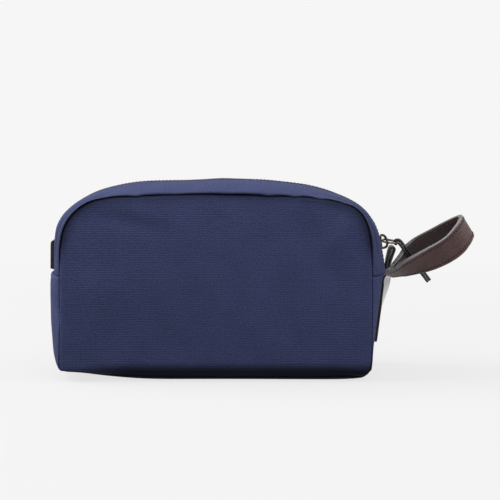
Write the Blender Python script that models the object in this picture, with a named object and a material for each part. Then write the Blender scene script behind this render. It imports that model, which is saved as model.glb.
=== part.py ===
"""Zipped canvas shaving kit bag with a leather wrist loop, modelled as its separate sewn pieces.

Metres, +Z up. The bag stands on z = 0 with its length along X, the zip running over the top from
the left gusset to the right one, and the wrist loop on the right, at +X.
"""

import math

import bpy
from mathutils import Matrix, Vector

# The bag's outline at the front and back seams: flat sides, two rounded top corners, a low crown.
DEPTH = 0.052  # from the middle of the bag to its front or back seam
SIDE_X = 0.1156  # half the width of the front and back panels
SEAM_TOP = 0.142
SEAM_CORNER = (0.0776, 0.1015, 0.038)  # x and z of the corner's centre, and its radius

# The same outline over the middle of the gusset, where it bulges out past the seams.
CREST_TOP = 0.150
CREST_CORNER_RIGHT = (0.0806, 0.0956, 0.0437)  # a true arc, because the zip slider follows it
CREST_CORNER_LEFT = (0.0770, 0.0940, 0.0483)
GUSSET_SEAM_Z = 0.0790  # the seam between the zip gusset and the side gussets
BULGE_SHAPE = 0.6  # 0.5 is an ellipse between the seams

# Cloth, leather and the gaps between touching pieces.
CANVAS = 0.0014
LINING = 0.0008
TAPE = 0.0006
LEATHER = 0.0013
GAP = 0.0004
LINING_EDGE = 0.0050  # how far the lining's edges stay back from the seams
PANEL_LINING_EDGE = 0.0046
PANEL_LINING_LEVEL = 0.0036

# The base and the panels.
SEAM_LOW_Z = 0.0064  # where the base's rim meets the panels and the side gussets
PANEL_BELLY = 0.0030
PANEL_MIDDLE_Z = 0.064
BOARD_HALF = (0.106, 0.041)
BOARD_THICK = 0.0015
BOARD_CORNER = 0.008
BASE_LINING_HALF = (0.108, 0.0435)
BASE_LINING_CORNER = 0.009
FOOT_FLAT = 0.90  # how much of the base's length and depth lies flat on the ground
RIM_RINGS = ((1.0, SEAM_LOW_Z), (0.985, 0.0026), (0.955, 0.0006), (FOOT_FLAT, 0.0), (0.45, 0.0))

# How far the side gussets stand out past the panels, halfway between the seams.
LEFT_BULGE = 0.0130
LEFT_BULGE_LOSS = 0.0060  # how much less the left one bulges near its top and bottom
LEFT_BULGE_Z = 0.066
RIGHT_BULGE = (0.0012, 0.060, 0.35)  # by powers of the height; the strap pulls it flatter

# The zip.
TEETH_INNER = 0.0009  # from the zip's middle to each row of teeth: the mouth is unzipped
TEETH_WIDTH = 0.0014
TEETH_BELOW = 0.0019
TEETH_ABOVE = 0.0003
TAPE_INNER = 0.0027
TAPE_OUTER = 0.0110
TAPE_LEVEL = 0.0021  # how far the tape's face lies under the canvas's face
CANVAS_EDGE = 0.0065  # the folded edge of the canvas beside the zip
ZIP_END_Z = 0.0835
STOP_LENGTH = 0.0022

# The slider, given by its angle on the right crest corner.
SLIDER_ANGLE = math.radians(6.4)
SLIDER_LENGTH = 0.0090
SLIDER_HALF_WIDTH = 0.0040
PLATE_LOW = 0.0006
PLATE_THICK = 0.0008
LOWER_PLATE = 0.0034
POST_HALF_WIDTH = 0.00045
PLATE_LIP = (0.0008, 0.0004)  # the upper plate's turned down rim: its width and drop
BRIDGE_LENGTH = 0.0110
BRIDGE_HEIGHT = 0.0056
BRIDGE_BAR = 0.0012
BRIDGE_HALF_WIDTH = 0.0011
BRIDGE_BEND = 0.0022
BRIDGE_TOE = 0.0012

# The puller, a flat plate with an eye at each end, and the doubled leather lace through it.
PULLER_TILT = math.radians(-7.0)
PULLER_INNER = 0.0032  # from its pivot to its inner end
PULLER_OUTER = 0.0095
PULLER_HALF_WIDTH = 0.0030
PULLER_THICK = 0.0010
PULLER_NECK = (0.0030, 0.0048)  # where it narrows from its wide end to its lace end
PULLER_TIP_HALF_WIDTH = 0.0022
PULLER_CORNER = 0.0008
EYE_HALF_WIDTH = 0.0018
EYE_HALF_LENGTH = 0.0022
LACE_EYE = (0.0056, 0.0085)
LACE_EYE_HALF_WIDTH = 0.0013
LACE_RADIUS = 0.0010
LACE_SPREAD = 0.00125  # half the distance between the lace's two strands
LACE_ROUTE = (
    (0.1405, -0.0008, 0.1008),
    (0.1438, -0.0031, 0.0961),
    (0.1466, -0.0008, 0.0893),
    (0.1508, 0.0036, 0.0842),
    (0.1561, 0.0082, 0.0781),
    (0.1598, 0.0097, 0.0731),
    (0.1627, 0.0102, 0.0686),
)

# The wrist loop: one doubled strap, its two ends sewn down the right gusset.
STRAP_WIDTH = 0.0190
STRAP_HALF_THICK = 0.00145
LAYER_GAP = 0.00036
HANDLE_BASE = (0.1287, 0.0, 0.0753)
HANDLE_RISE = math.radians(32.4)
LOOP_HINGE = (0.1320, 0.0, 0.0710)
# Stations along the loop, from the outer strap's base out and back to the inner strap's base:
# distance from the base, offset in Y, offset square to the loop, and roll in degrees.
LOOP_STATIONS = (
    (0.0019, -0.0002, -0.0024, 6.0),
    (0.0050, -0.0005, -0.0035, 6.0),
    (0.0090, -0.0012, -0.0049, 7.0),
    (0.0150, -0.0026, -0.0062, 14.0),
    (0.0260, -0.0064, -0.0078, 29.0),
    (0.0380, -0.0102, -0.0086, 44.0),
    (0.0490, -0.0128, -0.0078, 53.0),
    (0.0620, -0.0133, -0.0054, 62.0),
    (0.0712, -0.0092, -0.0032, 71.0),
    (0.0752, 0.0, -0.0014, 80.0),
    (0.0712, 0.0092, -0.0006, 80.0),
    (0.0620, 0.0133, -0.0002, 79.0),
    (0.0490, 0.0130, -0.0001, 76.0),
    (0.0340, 0.0096, 0.0011, 71.0),
    (0.0240, 0.0068, 0.0020, 64.0),
    (0.0150, 0.0038, 0.0027, 47.0),
    (0.0090, 0.0017, 0.0015, 24.0),
    (0.0050, 0.0007, 0.0006, 12.0),
    (0.0009, 0.0002, 0.0012, 6.0),
)
# The sewn ends, from the loop down: x and z of the middle between the two straps, and roll.
ANCHOR_STATIONS = (
    (0.1283, 0.0716, 8.0),
    (0.1279, 0.0670, 8.0),
    (0.1266, 0.0590, 6.0),
    (0.1246, 0.0460, 3.0),
    (0.1226, 0.0290, 0.0),
)
ANCHOR_HALF_GAP = 0.0018

# The leather tabs over the zip's ends.
TAB_HALF_WIDTH = 0.0080
TAB_LEFT_X = (-0.1284, -0.1261)
TAB_LEFT_Z = (0.0798, 0.1000)
TAB_RIGHT_OUTLINE = (
    (0.1274, 0.0802),
    (0.1276, 0.0850),
    (0.1284, 0.0900),
    (0.1300, 0.0943),
    (0.1312, 0.0963),
    (0.1331, 0.0975),
    (0.1350, 0.0968),
    (0.1353, 0.0950),
    (0.1330, 0.0906),
    (0.1308, 0.0859),
    (0.1288, 0.0819),
)

# Facets.
FOOT_STEPS = 2
CORNER_STEPS = 9
CROWN_STEPS = 6
GUSSET_ROWS = 6
SIDE_COLUMNS = 8
STRAP_STEPS = 54


def colour_of(red, green, blue):
    """A display colour from 0 to 255 as linear values."""
    return [(c / 255) ** 2.2 for c in (red, green, blue)] + [1.0]


def material(name, colour, roughness, metallic=0.0):
    found = bpy.data.materials.get(name)
    if found:
        return found
    made = bpy.data.materials.new(name)
    made.use_nodes = True
    shader = made.node_tree.nodes["Principled BSDF"]
    shader.inputs["Base Color"].default_value = colour_of(*colour)
    shader.inputs["Roughness"].default_value = roughness
    shader.inputs["Metallic"].default_value = metallic
    return made


def mesh_object(name, points, faces, look):
    mesh = bpy.data.meshes.new(name)
    mesh.from_pydata([tuple(p) for p in points], [], faces)
    mesh.materials.append(look)
    mesh.update()
    mesh.shade_smooth()
    mesh.set_sharp_from_angle(angle=math.radians(35))
    made = bpy.data.objects.new(name, mesh)
    bpy.context.scene.collection.objects.link(made)
    return made


def thicken(piece, thickness):
    """Gives a sheet its thickness, away from the side that its faces point to."""
    solid = piece.modifiers.new("Thickness", "SOLIDIFY")
    solid.thickness = thickness
    solid.offset = -1.0
    solid.use_even_offset = True
    return piece


def grid_faces(rows, columns, closed=False):
    faces = []
    for r in range(rows - 1):
        for c in range(columns if closed else columns - 1):
            d = (c + 1) % columns
            faces.append((r * columns + c, r * columns + d, (r + 1) * columns + d, (r + 1) * columns + c))
    return faces


def sheet(name, grid, thickness, look):
    """A thick sheet on a grid of points. Its outer side is where column then row turn anticlockwise."""
    points = [p for row in grid for p in row]
    return thicken(mesh_object(name, points, grid_faces(len(grid), len(grid[0])), look), thickness)


def grid_normal(grid, r, c):
    along = grid[r][min(c + 1, len(grid[0]) - 1)] - grid[r][max(c - 1, 0)]
    across = grid[min(r + 1, len(grid) - 1)][c] - grid[max(r - 1, 0)][c]
    return along.cross(across).normalized()


def moved_in(grid, distance):
    """The grid moved towards its inner side."""
    return [
        [grid[r][c] - distance * grid_normal(grid, r, c) for c in range(len(grid[0]))]
        for r in range(len(grid))
    ]


# ---------------------------------------------------------------- the bag's outline


def crown_radius(corner, top):
    """The radius of the low arc over the top that meets the corner's arc without a kink."""
    x, z, r = corner
    low = z - top
    return (x * x + low * low - r * r) / (2 * (top - z - r))


def half_arch(corner, top, foot):
    """Points from the foot of the +X side, round its corner, to the middle of the top."""
    x, z, r = corner
    crown = crown_radius(corner, top)
    lean = math.asin(x / (crown - r))
    points = [Vector((foot(z0), 0, z0)) for z0 in steps(GUSSET_SEAM_Z + GAP, z, FOOT_STEPS)[:-1]]
    for a in steps(0, math.pi / 2 - lean, CORNER_STEPS):
        points.append(Vector((x + r * math.cos(a), 0, z + r * math.sin(a))))
    for a in steps(lean, 0, CROWN_STEPS)[1:]:
        points.append(Vector((crown * math.sin(a), 0, top - crown + crown * math.cos(a))))
    return points


def steps(first, last, count):
    return [first + (last - first) * k / count for k in range(count + 1)]


def mirrored(points):
    return [Vector((-p.x, p.y, p.z)) for p in points]


def whole_arch(left, right):
    """From the foot of the -X side over the top to the foot of the +X side."""
    return mirrored(left) + right[-2::-1]


def seam_arch():
    half = half_arch(SEAM_CORNER, SEAM_TOP, lambda z: SIDE_X)
    return whole_arch(half, half)


def crest_arch():
    left = half_arch(CREST_CORNER_LEFT, CREST_TOP, lambda z: sum(CREST_CORNER_LEFT[::2]))
    right = half_arch(CREST_CORNER_RIGHT, CREST_TOP, lambda z: sum(CREST_CORNER_RIGHT[::2]))
    return whole_arch(left, right)


def bulge_share(y):
    """How much of the way from the seam outline to the crest outline the gusset lies at y."""
    return max(0.0, 1 - (y / DEPTH) ** 2) ** BULGE_SHAPE


def arch_grid(y_values):
    """The zip gusset's outer face: a row for each y, a column for each point of the arch."""
    seam, crest = seam_arch(), crest_arch()
    grid = []
    for y in y_values:
        share = bulge_share(y)
        grid.append([s.lerp(c, share) + Vector((0, y, 0)) for s, c in zip(seam, crest)])
    return grid


def left_bulge(z):
    """How far the left side gusset stands out past the panels, halfway between the seams."""
    spread = 0.058 if z < LEFT_BULGE_Z else 0.030
    return LEFT_BULGE - LEFT_BULGE_LOSS * ((z - LEFT_BULGE_Z) / spread) ** 2


def right_bulge(z):
    """The right side gusset, pulled flatter by the sewn strap."""
    return sum(share * z ** power for power, share in enumerate(RIGHT_BULGE))


# ---------------------------------------------------------------- canvas and lining


def gusset_rows(inner, outer):
    """y values from one edge to the other, closer together near the seam, where the cloth turns."""
    return [inner + (outer - inner) * math.sin(t * math.pi / 2) for t in steps(0, 1, GUSSET_ROWS)]


def add_zip_gusset(name, side, look):
    """side is -1 for the front half and 1 for the back half."""
    ys = sorted(side * y for y in gusset_rows(CANVAS_EDGE, DEPTH - CANVAS - GAP))
    return sheet(name, arch_grid(ys), CANVAS, look)


def add_zip_gusset_lining(name, side, look):
    ys = sorted(side * y for y in gusset_rows(CANVAS_EDGE + 0.001, DEPTH - LINING_EDGE))
    grid = moved_in(arch_grid(ys), CANVAS + TAPE + 4 * GAP)
    return sheet(name, [row[1:-1] for row in grid], LINING, look)


def add_side_gusset(name, side, bulge, look):
    ys = steps(-(DEPTH - CANVAS - GAP), DEPTH - CANVAS - GAP, SIDE_COLUMNS)
    zs = steps(SEAM_LOW_Z + 3 * GAP, GUSSET_SEAM_Z - GAP, SIDE_COLUMNS)
    return sheet(name, side_grid(side, bulge, ys, zs), CANVAS, look)


def add_side_lining(name, side, bulge, look):
    ys = steps(-(DEPTH - LINING_EDGE), DEPTH - LINING_EDGE, SIDE_COLUMNS)
    zs = steps(SEAM_LOW_Z + 5 * GAP, GUSSET_SEAM_Z - 2 * GAP, SIDE_COLUMNS)
    return sheet(name, moved_in(side_grid(side, bulge, ys, zs), CANVAS + 3 * GAP), LINING, look)


def side_grid(side, bulge, ys, zs):
    rows = ys if side > 0 else ys[::-1]
    return [
        [Vector((side * (SIDE_X + bulge(z) * bulge_share(y)), y, z)) for y in rows] for z in zs
    ]


def panel_outline(inset):
    """The closed outline of a panel, anticlockwise seen from the front, drawn in by inset."""
    arch = seam_arch()
    lowest = SEAM_LOW_Z + GAP + inset
    right = [Vector((SIDE_X, 0, z)) for z in steps(lowest, arch[-1].z, 5)[:-1]]
    bottom = [Vector((x, 0, lowest)) for x in steps(-SIDE_X, SIDE_X, 12)[1:-1]]
    left = mirrored(right)[::-1]
    middle = Vector((0, 0, PANEL_MIDDLE_Z))
    loop = bottom + right + arch[::-1] + left
    return [p.lerp(middle, inset / SIDE_X) for p in loop]


def add_panel(name, side, level, inset, thickness, look):
    """A front (side -1) or back (side 1) panel that bellies out a little in its middle."""
    loop = panel_outline(inset)
    middle = Vector((0, 0, PANEL_MIDDLE_Z))
    points = []
    shares = (1.0, 0.86, 0.62, 0.34)
    for share in shares:
        belly = PANEL_BELLY * (1 - share ** 2)
        for p in loop:
            q = middle.lerp(p, share)
            points.append(Vector((q.x, side * (level + belly), q.z)))
    points.append(Vector((middle.x, side * (level + PANEL_BELLY), middle.z)))
    count = len(loop)
    faces = grid_faces(len(shares), count, closed=True)
    last = (len(shares) - 1) * count
    faces += [(last + c, last + (c + 1) % count, len(points) - 1) for c in range(count)]
    if side > 0:
        faces = [f[::-1] for f in faces]
    return thicken(mesh_object(name, points, faces, look), thickness)


def base_ring(share, z):
    """A loop round the base, anticlockwise seen from above, scaled by share."""
    depth = DEPTH - CANVAS - GAP
    ys = steps(-depth, depth, SIDE_COLUMNS)
    right = [Vector((SIDE_X + right_bulge(SEAM_LOW_Z) * bulge_share(y), y, z)) for y in ys]
    left = [Vector((-SIDE_X - left_bulge(SEAM_LOW_Z) * bulge_share(y), y, z)) for y in ys[::-1]]
    front = [Vector((x, -depth, z)) for x in steps(left[-1].x, right[0].x, 12)[1:-1]]
    back = [Vector((x, depth, z)) for x in steps(right[-1].x, left[0].x, 12)[1:-1]]
    return [Vector((p.x * share, p.y * share, p.z)) for p in right + back + left + front]


def add_base_panel(look):
    """The canvas bottom: flat on the ground, turned up at its rim to meet the other panels."""
    rings = [base_ring(share, z) for share, z in RIM_RINGS]
    points = [p for ring in rings for p in ring] + [Vector((0, 0, 0))]
    count = len(rings[0])
    faces = grid_faces(len(rings), count, closed=True)
    last = (len(rings) - 1) * count
    faces += [(last + c, last + (c + 1) % count, len(points) - 1) for c in range(count)]
    return thicken(mesh_object("base_panel", points, [f[::-1] for f in faces], look), CANVAS)


def add_plate(name, half_x, half_y, corner, low, high, look):
    """A flat plate with rounded corners, lying level."""
    outline = []
    for turn, (sx, sy) in enumerate(((1, 1), (-1, 1), (-1, -1), (1, -1))):
        for a in steps(turn * math.pi / 2, (turn + 1) * math.pi / 2, 5):
            x = sx * (half_x - corner) + corner * math.cos(a)
            outline.append((x, sy * (half_y - corner) + corner * math.sin(a)))
    return prism(name, outline, lambda u, v, w: Vector((u, v, w)), low, high, look)


def prism(name, outline, place, low, high, look):
    """A closed outline given width from low to high. place turns (u, v, w) into a point."""
    count = len(outline)
    points = [place(u, v, low) for u, v in outline] + [place(u, v, high) for u, v in outline]
    faces = [tuple(range(count))[::-1], tuple(range(count, 2 * count))]
    faces += [(c, (c + 1) % count, count + (c + 1) % count, count + c) for c in range(count)]
    return mesh_object(name, points, faces, look)


# ---------------------------------------------------------------- the zip


def zip_line():
    """The zip's own line over the crest, between its two ends."""
    return [p for p in crest_arch() if p.z > ZIP_END_Z]


def line_normal(line, k):
    along = line[min(k + 1, len(line) - 1)] - line[max(k - 1, 0)]
    return Vector((-along.z, 0, along.x)).normalized()


def swept_bar(name, line, corners, look):
    """A bar along a line in the XZ plane. corners are (y, height above the line), anticlockwise."""
    points = []
    for k, p in enumerate(line):
        out = line_normal(line, k)
        points += [p + height * out + Vector((0, y, 0)) for y, height in corners]
    count = len(corners)
    faces = [f[::-1] for f in grid_faces(len(line), count, closed=True)]
    faces.append(tuple(range(count)))
    faces.append(tuple(range(len(points) - count, len(points)))[::-1])
    return mesh_object(name, points, faces, look)


def bar_corners(side, inner, outer, low, high):
    corners = [(side * inner, low), (side * outer, low), (side * outer, high), (side * inner, high)]
    return corners if side < 0 else corners[::-1]


def add_teeth(name, side, look):
    corners = bar_corners(side, TEETH_INNER, TEETH_INNER + TEETH_WIDTH, -TEETH_BELOW, TEETH_ABOVE)
    return swept_bar(name, zip_line(), corners, look)


def add_tape(name, side, look):
    corners = bar_corners(side, TAPE_INNER, TAPE_OUTER, -TAPE_LEVEL - TAPE, -TAPE_LEVEL)
    return swept_bar(name, zip_line(), corners, look)


def add_stop(name, end, outward, look):
    """A metal stop that joins the two rows of teeth past their end."""
    half = TEETH_INNER + TEETH_WIDTH
    drop = Vector((0, 0, -1))
    line = [end + drop * GAP, end + drop * (GAP + STOP_LENGTH)]
    if outward < 0:
        line = line[::-1]
    corners = [(half, TEETH_ABOVE), (half, -TEETH_BELOW), (-half, -TEETH_BELOW), (-half, TEETH_ABOVE)]
    return swept_bar(name, line, corners, look)


def slider_place(height, y, along):
    """A point of the slider: height out from the zip's line, y, and distance up along the zip."""
    x, z, r = CREST_CORNER_RIGHT
    out = Vector((math.cos(SLIDER_ANGLE), 0, math.sin(SLIDER_ANGLE)))
    up = Vector((-out.z, 0, out.x))
    return Vector((x, 0, z)) + (r + height) * out + along * up + Vector((0, y, 0))


def slider_centre():
    x, z, _ = CREST_CORNER_RIGHT
    return Vector((x, 0, z))


def add_slider_body(look):
    """Two plates held apart by a post that runs between the rows of teeth."""
    w, p = SLIDER_HALF_WIDTH, POST_HALF_WIDTH
    lip, drop = PLATE_LIP
    low, high = -LOWER_PLATE - PLATE_THICK, PLATE_LOW + PLATE_THICK
    outline = [(-w, high), (-w, PLATE_LOW - drop), (-w + lip, PLATE_LOW - drop)]
    outline += [(-w + lip, PLATE_LOW), (-p, PLATE_LOW), (-p, -LOWER_PLATE), (-w, -LOWER_PLATE)]
    outline += [(-w, low)]
    outline += [(-y, height) for y, height in outline[::-1]]
    half = SLIDER_LENGTH / 2
    place = lambda y, height, along: slider_place(height, y, along)
    return prism("slider_body", outline[::-1], place, -half, half, look)


def add_slider_bridge(look):
    """The arched bar over the slider that the puller hangs from."""
    foot, top, bar = PLATE_LOW + PLATE_THICK + GAP, BRIDGE_HEIGHT, BRIDGE_BAR
    half = BRIDGE_LENGTH / 2
    bend, toe = BRIDGE_BEND, BRIDGE_TOE
    outer = [(half - toe, foot), (half, foot + toe)]
    outer += [
        (half - bend + bend * math.cos(a), top - bend + bend * math.sin(a))
        for a in steps(0, math.pi / 2, 4)
    ]
    outer += [(-u, v) for u, v in outer[::-1]]
    inner = [(half - toe - bar, foot), (half - bar, foot + toe)]
    small = bend - bar
    inner += [
        (half - bend + small * math.cos(a), top - bend + small * math.sin(a))
        for a in steps(0, math.pi / 2, 3)
    ]
    inner += [(-u, v) for u, v in inner[::-1]]
    place = lambda along, height, y: slider_place(height, y, along)
    return prism("slider_bridge", outer + inner[::-1], place, -BRIDGE_HALF_WIDTH, BRIDGE_HALF_WIDTH, look)


def puller_pivot():
    return slider_place(BRIDGE_HEIGHT - BRIDGE_BAR / 2, 0, 0)


def puller_place(out, y, up):
    direction = Vector((math.cos(PULLER_TILT), 0, math.sin(PULLER_TILT)))
    normal = Vector((-direction.z, 0, direction.x))
    return puller_pivot() + out * direction + up * normal + Vector((0, y, 0))


def box_cutter(name, low, high, half_width):
    """A box through the puller, for cutting an eye that runs along it from low to high."""
    outline = [(low, -half_width), (high, -half_width), (high, half_width), (low, half_width)]
    look = material("cutter", (128, 128, 128), 1)
    cutter = prism(name, outline, puller_place, -2 * PULLER_THICK, 2 * PULLER_THICK, look)
    cutter.hide_render = True
    cutter.display_type = "WIRE"
    return cutter


def add_puller(look):
    w, tip, cut = PULLER_HALF_WIDTH, PULLER_TIP_HALF_WIDTH, PULLER_CORNER
    outline = [(-PULLER_INNER, -w + cut), (-PULLER_INNER + cut, -w), (PULLER_NECK[0], -w)]
    outline += [(PULLER_NECK[1], -tip), (PULLER_OUTER - cut, -tip), (PULLER_OUTER, -tip + cut)]
    outline += [(u, -v) for u, v in outline[::-1]]
    half = PULLER_THICK / 2
    piece = prism("puller_bar", outline, puller_place, -half, half, look)
    eyes = (
        (-EYE_HALF_LENGTH, EYE_HALF_LENGTH, EYE_HALF_WIDTH),
        (LACE_EYE[0], LACE_EYE[1], LACE_EYE_HALF_WIDTH),
    )
    for k, (low, high, half_width) in enumerate(eyes):
        eye = piece.modifiers.new("Eye", "BOOLEAN")
        eye.operation = "DIFFERENCE"
        eye.solver = "EXACT"
        eye.object = box_cutter(f"eye_cutter_{k}", low, high, half_width)
    return piece


def catmull(points, count):
    """count + 1 points, evenly placed in parameter, on a smooth curve through the given ones."""
    known = [Vector(p) for p in points]
    known = [2 * known[0] - known[1]] + known + [2 * known[-1] - known[-2]]
    found = []
    for t in steps(0, len(points) - 1, count):
        k = min(int(t), len(points) - 2)
        u = t - k
        a, b, c, d = known[k : k + 4]
        curve = 2 * b + (c - a) * u + (2 * a - 5 * b + 4 * c - d) * u ** 2 + (3 * b - a - 3 * c + d) * u ** 3
        found.append(curve / 2)
    return found


def lace_line():
    """The doubled lace: up one strand, over the puller's end and down the other."""
    middle = catmull(LACE_ROUTE, 16)
    strands = ([], [])
    for k, p in enumerate(middle):
        along = middle[min(k + 1, len(middle) - 1)] - middle[max(k - 1, 0)]
        beside = Vector((-along.z, 0, along.x)).normalized() * LACE_SPREAD
        strands[0].append(p + beside)
        strands[1].append(p - beside)
    reach = LACE_RADIUS + PULLER_THICK / 2 + GAP
    eye = (LACE_EYE[0] + LACE_EYE[1]) / 2
    fold = [
        puller_place(PULLER_OUTER + GAP, 0, reach + GAP / 2),
        puller_place(eye + LACE_RADIUS, 0, reach + GAP),
        puller_place(eye, 0, PULLER_THICK),
        puller_place(eye, 0, -PULLER_THICK),
        puller_place(eye + 1.2 * LACE_RADIUS, 0, -reach - GAP),
    ]
    return strands[0][::-1] + catmull(fold, 10) + strands[1][3:]


def add_lace(look):
    line = bpy.data.curves.new("pull_lace", "CURVE")
    line.dimensions = "3D"
    line.bevel_depth = LACE_RADIUS
    line.bevel_resolution = 2
    line.use_fill_caps = True
    line.materials.append(look)
    spline = line.splines.new("POLY")
    route = lace_line()
    spline.points.add(len(route) - 1)
    for point, place in zip(spline.points, route):
        point.co = (*place, 1)
    made = bpy.data.objects.new("pull_lace", line)
    bpy.context.scene.collection.objects.link(made)
    return made


# ---------------------------------------------------------------- leather


def loop_frames():
    """Centre, width direction and outward direction at each step round the wrist loop."""
    out = Vector((math.cos(HANDLE_RISE), 0, math.sin(HANDLE_RISE)))
    square = Vector((-out.z, 0, out.x))
    base = Vector(HANDLE_BASE)
    centres = [base + s * out + Vector((0, y, 0)) + h * square for s, y, h, _ in LOOP_STATIONS]
    widths = []
    for *_, roll in LOOP_STATIONS:
        a = math.radians(roll)
        widths.append(Vector((0, -math.cos(a), 0)) + math.sin(a) * square)
    return frames_along(catmull(centres, STRAP_STEPS), catmull(widths, STRAP_STEPS))


def anchor_frames(offset):
    """The same down one of the two sewn strap ends, offset from the middle between them."""
    middles = catmull([(x, 0, z) for x, z, _ in ANCHOR_STATIONS], 10)
    rolls = catmull([(roll, 0, 0) for *_, roll in ANCHOR_STATIONS], 10)
    widths = [Vector((-math.sin(math.radians(r.x)), -math.cos(math.radians(r.x)), 0)) for r in rolls]
    frames = frames_along(middles, widths)
    return [(centre - offset * outward, width, outward) for centre, width, outward in frames]


def frames_along(line, widths):
    frames = []
    for k, (p, w) in enumerate(zip(line, widths)):
        along = (line[min(k + 1, len(line) - 1)] - line[max(k - 1, 0)]).normalized()
        width = (w - w.dot(along) * along).normalized()
        frames.append((p, width, along.cross(width)))
    return frames


def add_strap(name, frames, low, high, look):
    """A strap along its frames, its thickness from low to high in the outward direction."""
    half = STRAP_WIDTH / 2
    corners = [(-half, low), (0, low), (half, low), (half, high), (0, high), (-half, high)]
    points = []
    for centre, width, outward in frames:
        points += [centre + w * width + h * outward for w, h in corners]
    count = len(corners)
    faces = []
    for r, quad in enumerate(grid_faces(len(frames), count, closed=True)):
        faces += split_quad(quad, r % count >= count / 2)
    faces.append(tuple(range(count))[::-1])
    faces.append(tuple(range(len(points) - count, len(points))))
    return mesh_object(name, points, faces, look)


def split_quad(quad, other_way):
    """Two triangles, cut so that both faces of a twisted strap fold along the same diagonals."""
    a, b, c, d = quad
    return [(a, b, d), (b, c, d)] if other_way else [(a, b, c), (a, c, d)]


def add_wrist_loop(outer_look, inner_look):
    frames = loop_frames()
    half_gap = LAYER_GAP / 2
    outer = add_strap("loop_outer_leather", frames, half_gap, STRAP_HALF_THICK, outer_look)
    inner = add_strap("loop_inner_leather", frames, -STRAP_HALF_THICK, -half_gap, inner_look)
    return outer, inner


def add_strap_ends(look):
    """The strap's two ends, one on the other, sewn down the right gusset."""
    thick = STRAP_HALF_THICK
    outer = add_strap("strap_end_outer", anchor_frames(ANCHOR_HALF_GAP), -thick, thick, look)
    inner = add_strap("strap_end_inner", anchor_frames(-ANCHOR_HALF_GAP), -thick, thick, look)
    return outer, inner


def add_tab_left(look):
    """A folded strip that lies flat over the zip's left end, its fold at the top."""
    (x0, x1), (z0, z1) = TAB_LEFT_X, TAB_LEFT_Z
    half = (x1 - x0) / 2
    middle = (x0 + x1) / 2
    outline = [(x0, z0), (x1, z0)]
    outline += [
        (middle + half * math.cos(a), z1 - half + half * math.sin(a)) for a in steps(0, math.pi, 6)
    ]
    place = lambda x, z, y: Vector((x, -y, z))
    return prism("zip_tab_left", outline, place, -TAB_HALF_WIDTH, TAB_HALF_WIDTH, look)


def add_tab_right(look):
    """A folded strip that stands off the zip's right end in an open teardrop."""
    route = [Vector((x, 0, z)) for x, z in TAB_RIGHT_OUTLINE]
    line = catmull(route, 22)
    centre = sum(line, Vector()) / len(line)
    half = LEATHER / 2
    outer, inner = [], []
    for k, p in enumerate(line):
        side = line_normal(line, k)
        side = side if side.dot(p - centre) > 0 else -side
        outer.append(p + half * side)
        inner.append(p - half * side)
    outline = [(p.x, p.z) for p in outer + inner[::-1]]
    place = lambda x, z, y: Vector((x, y, z))
    return prism("zip_tab_right", outline, place, -TAB_HALF_WIDTH, TAB_HALF_WIDTH, look)


# ---------------------------------------------------------------- joints


def pivot(name, place, children, parent=None):
    """An empty on a joint's axis that carries its pieces."""
    made = bpy.data.objects.new(name, None)
    bpy.context.scene.collection.objects.link(made)
    made.parent = parent
    made.location = Vector(place) - (parent.matrix_world.translation if parent else Vector())
    bpy.context.view_layer.update()
    for child in children:
        child.data.transform(Matrix.Translation(-Vector(place)))
        child.parent = made
    return made


def clear_scene():
    for found in list(bpy.data.objects):
        bpy.data.objects.remove(found)


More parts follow.
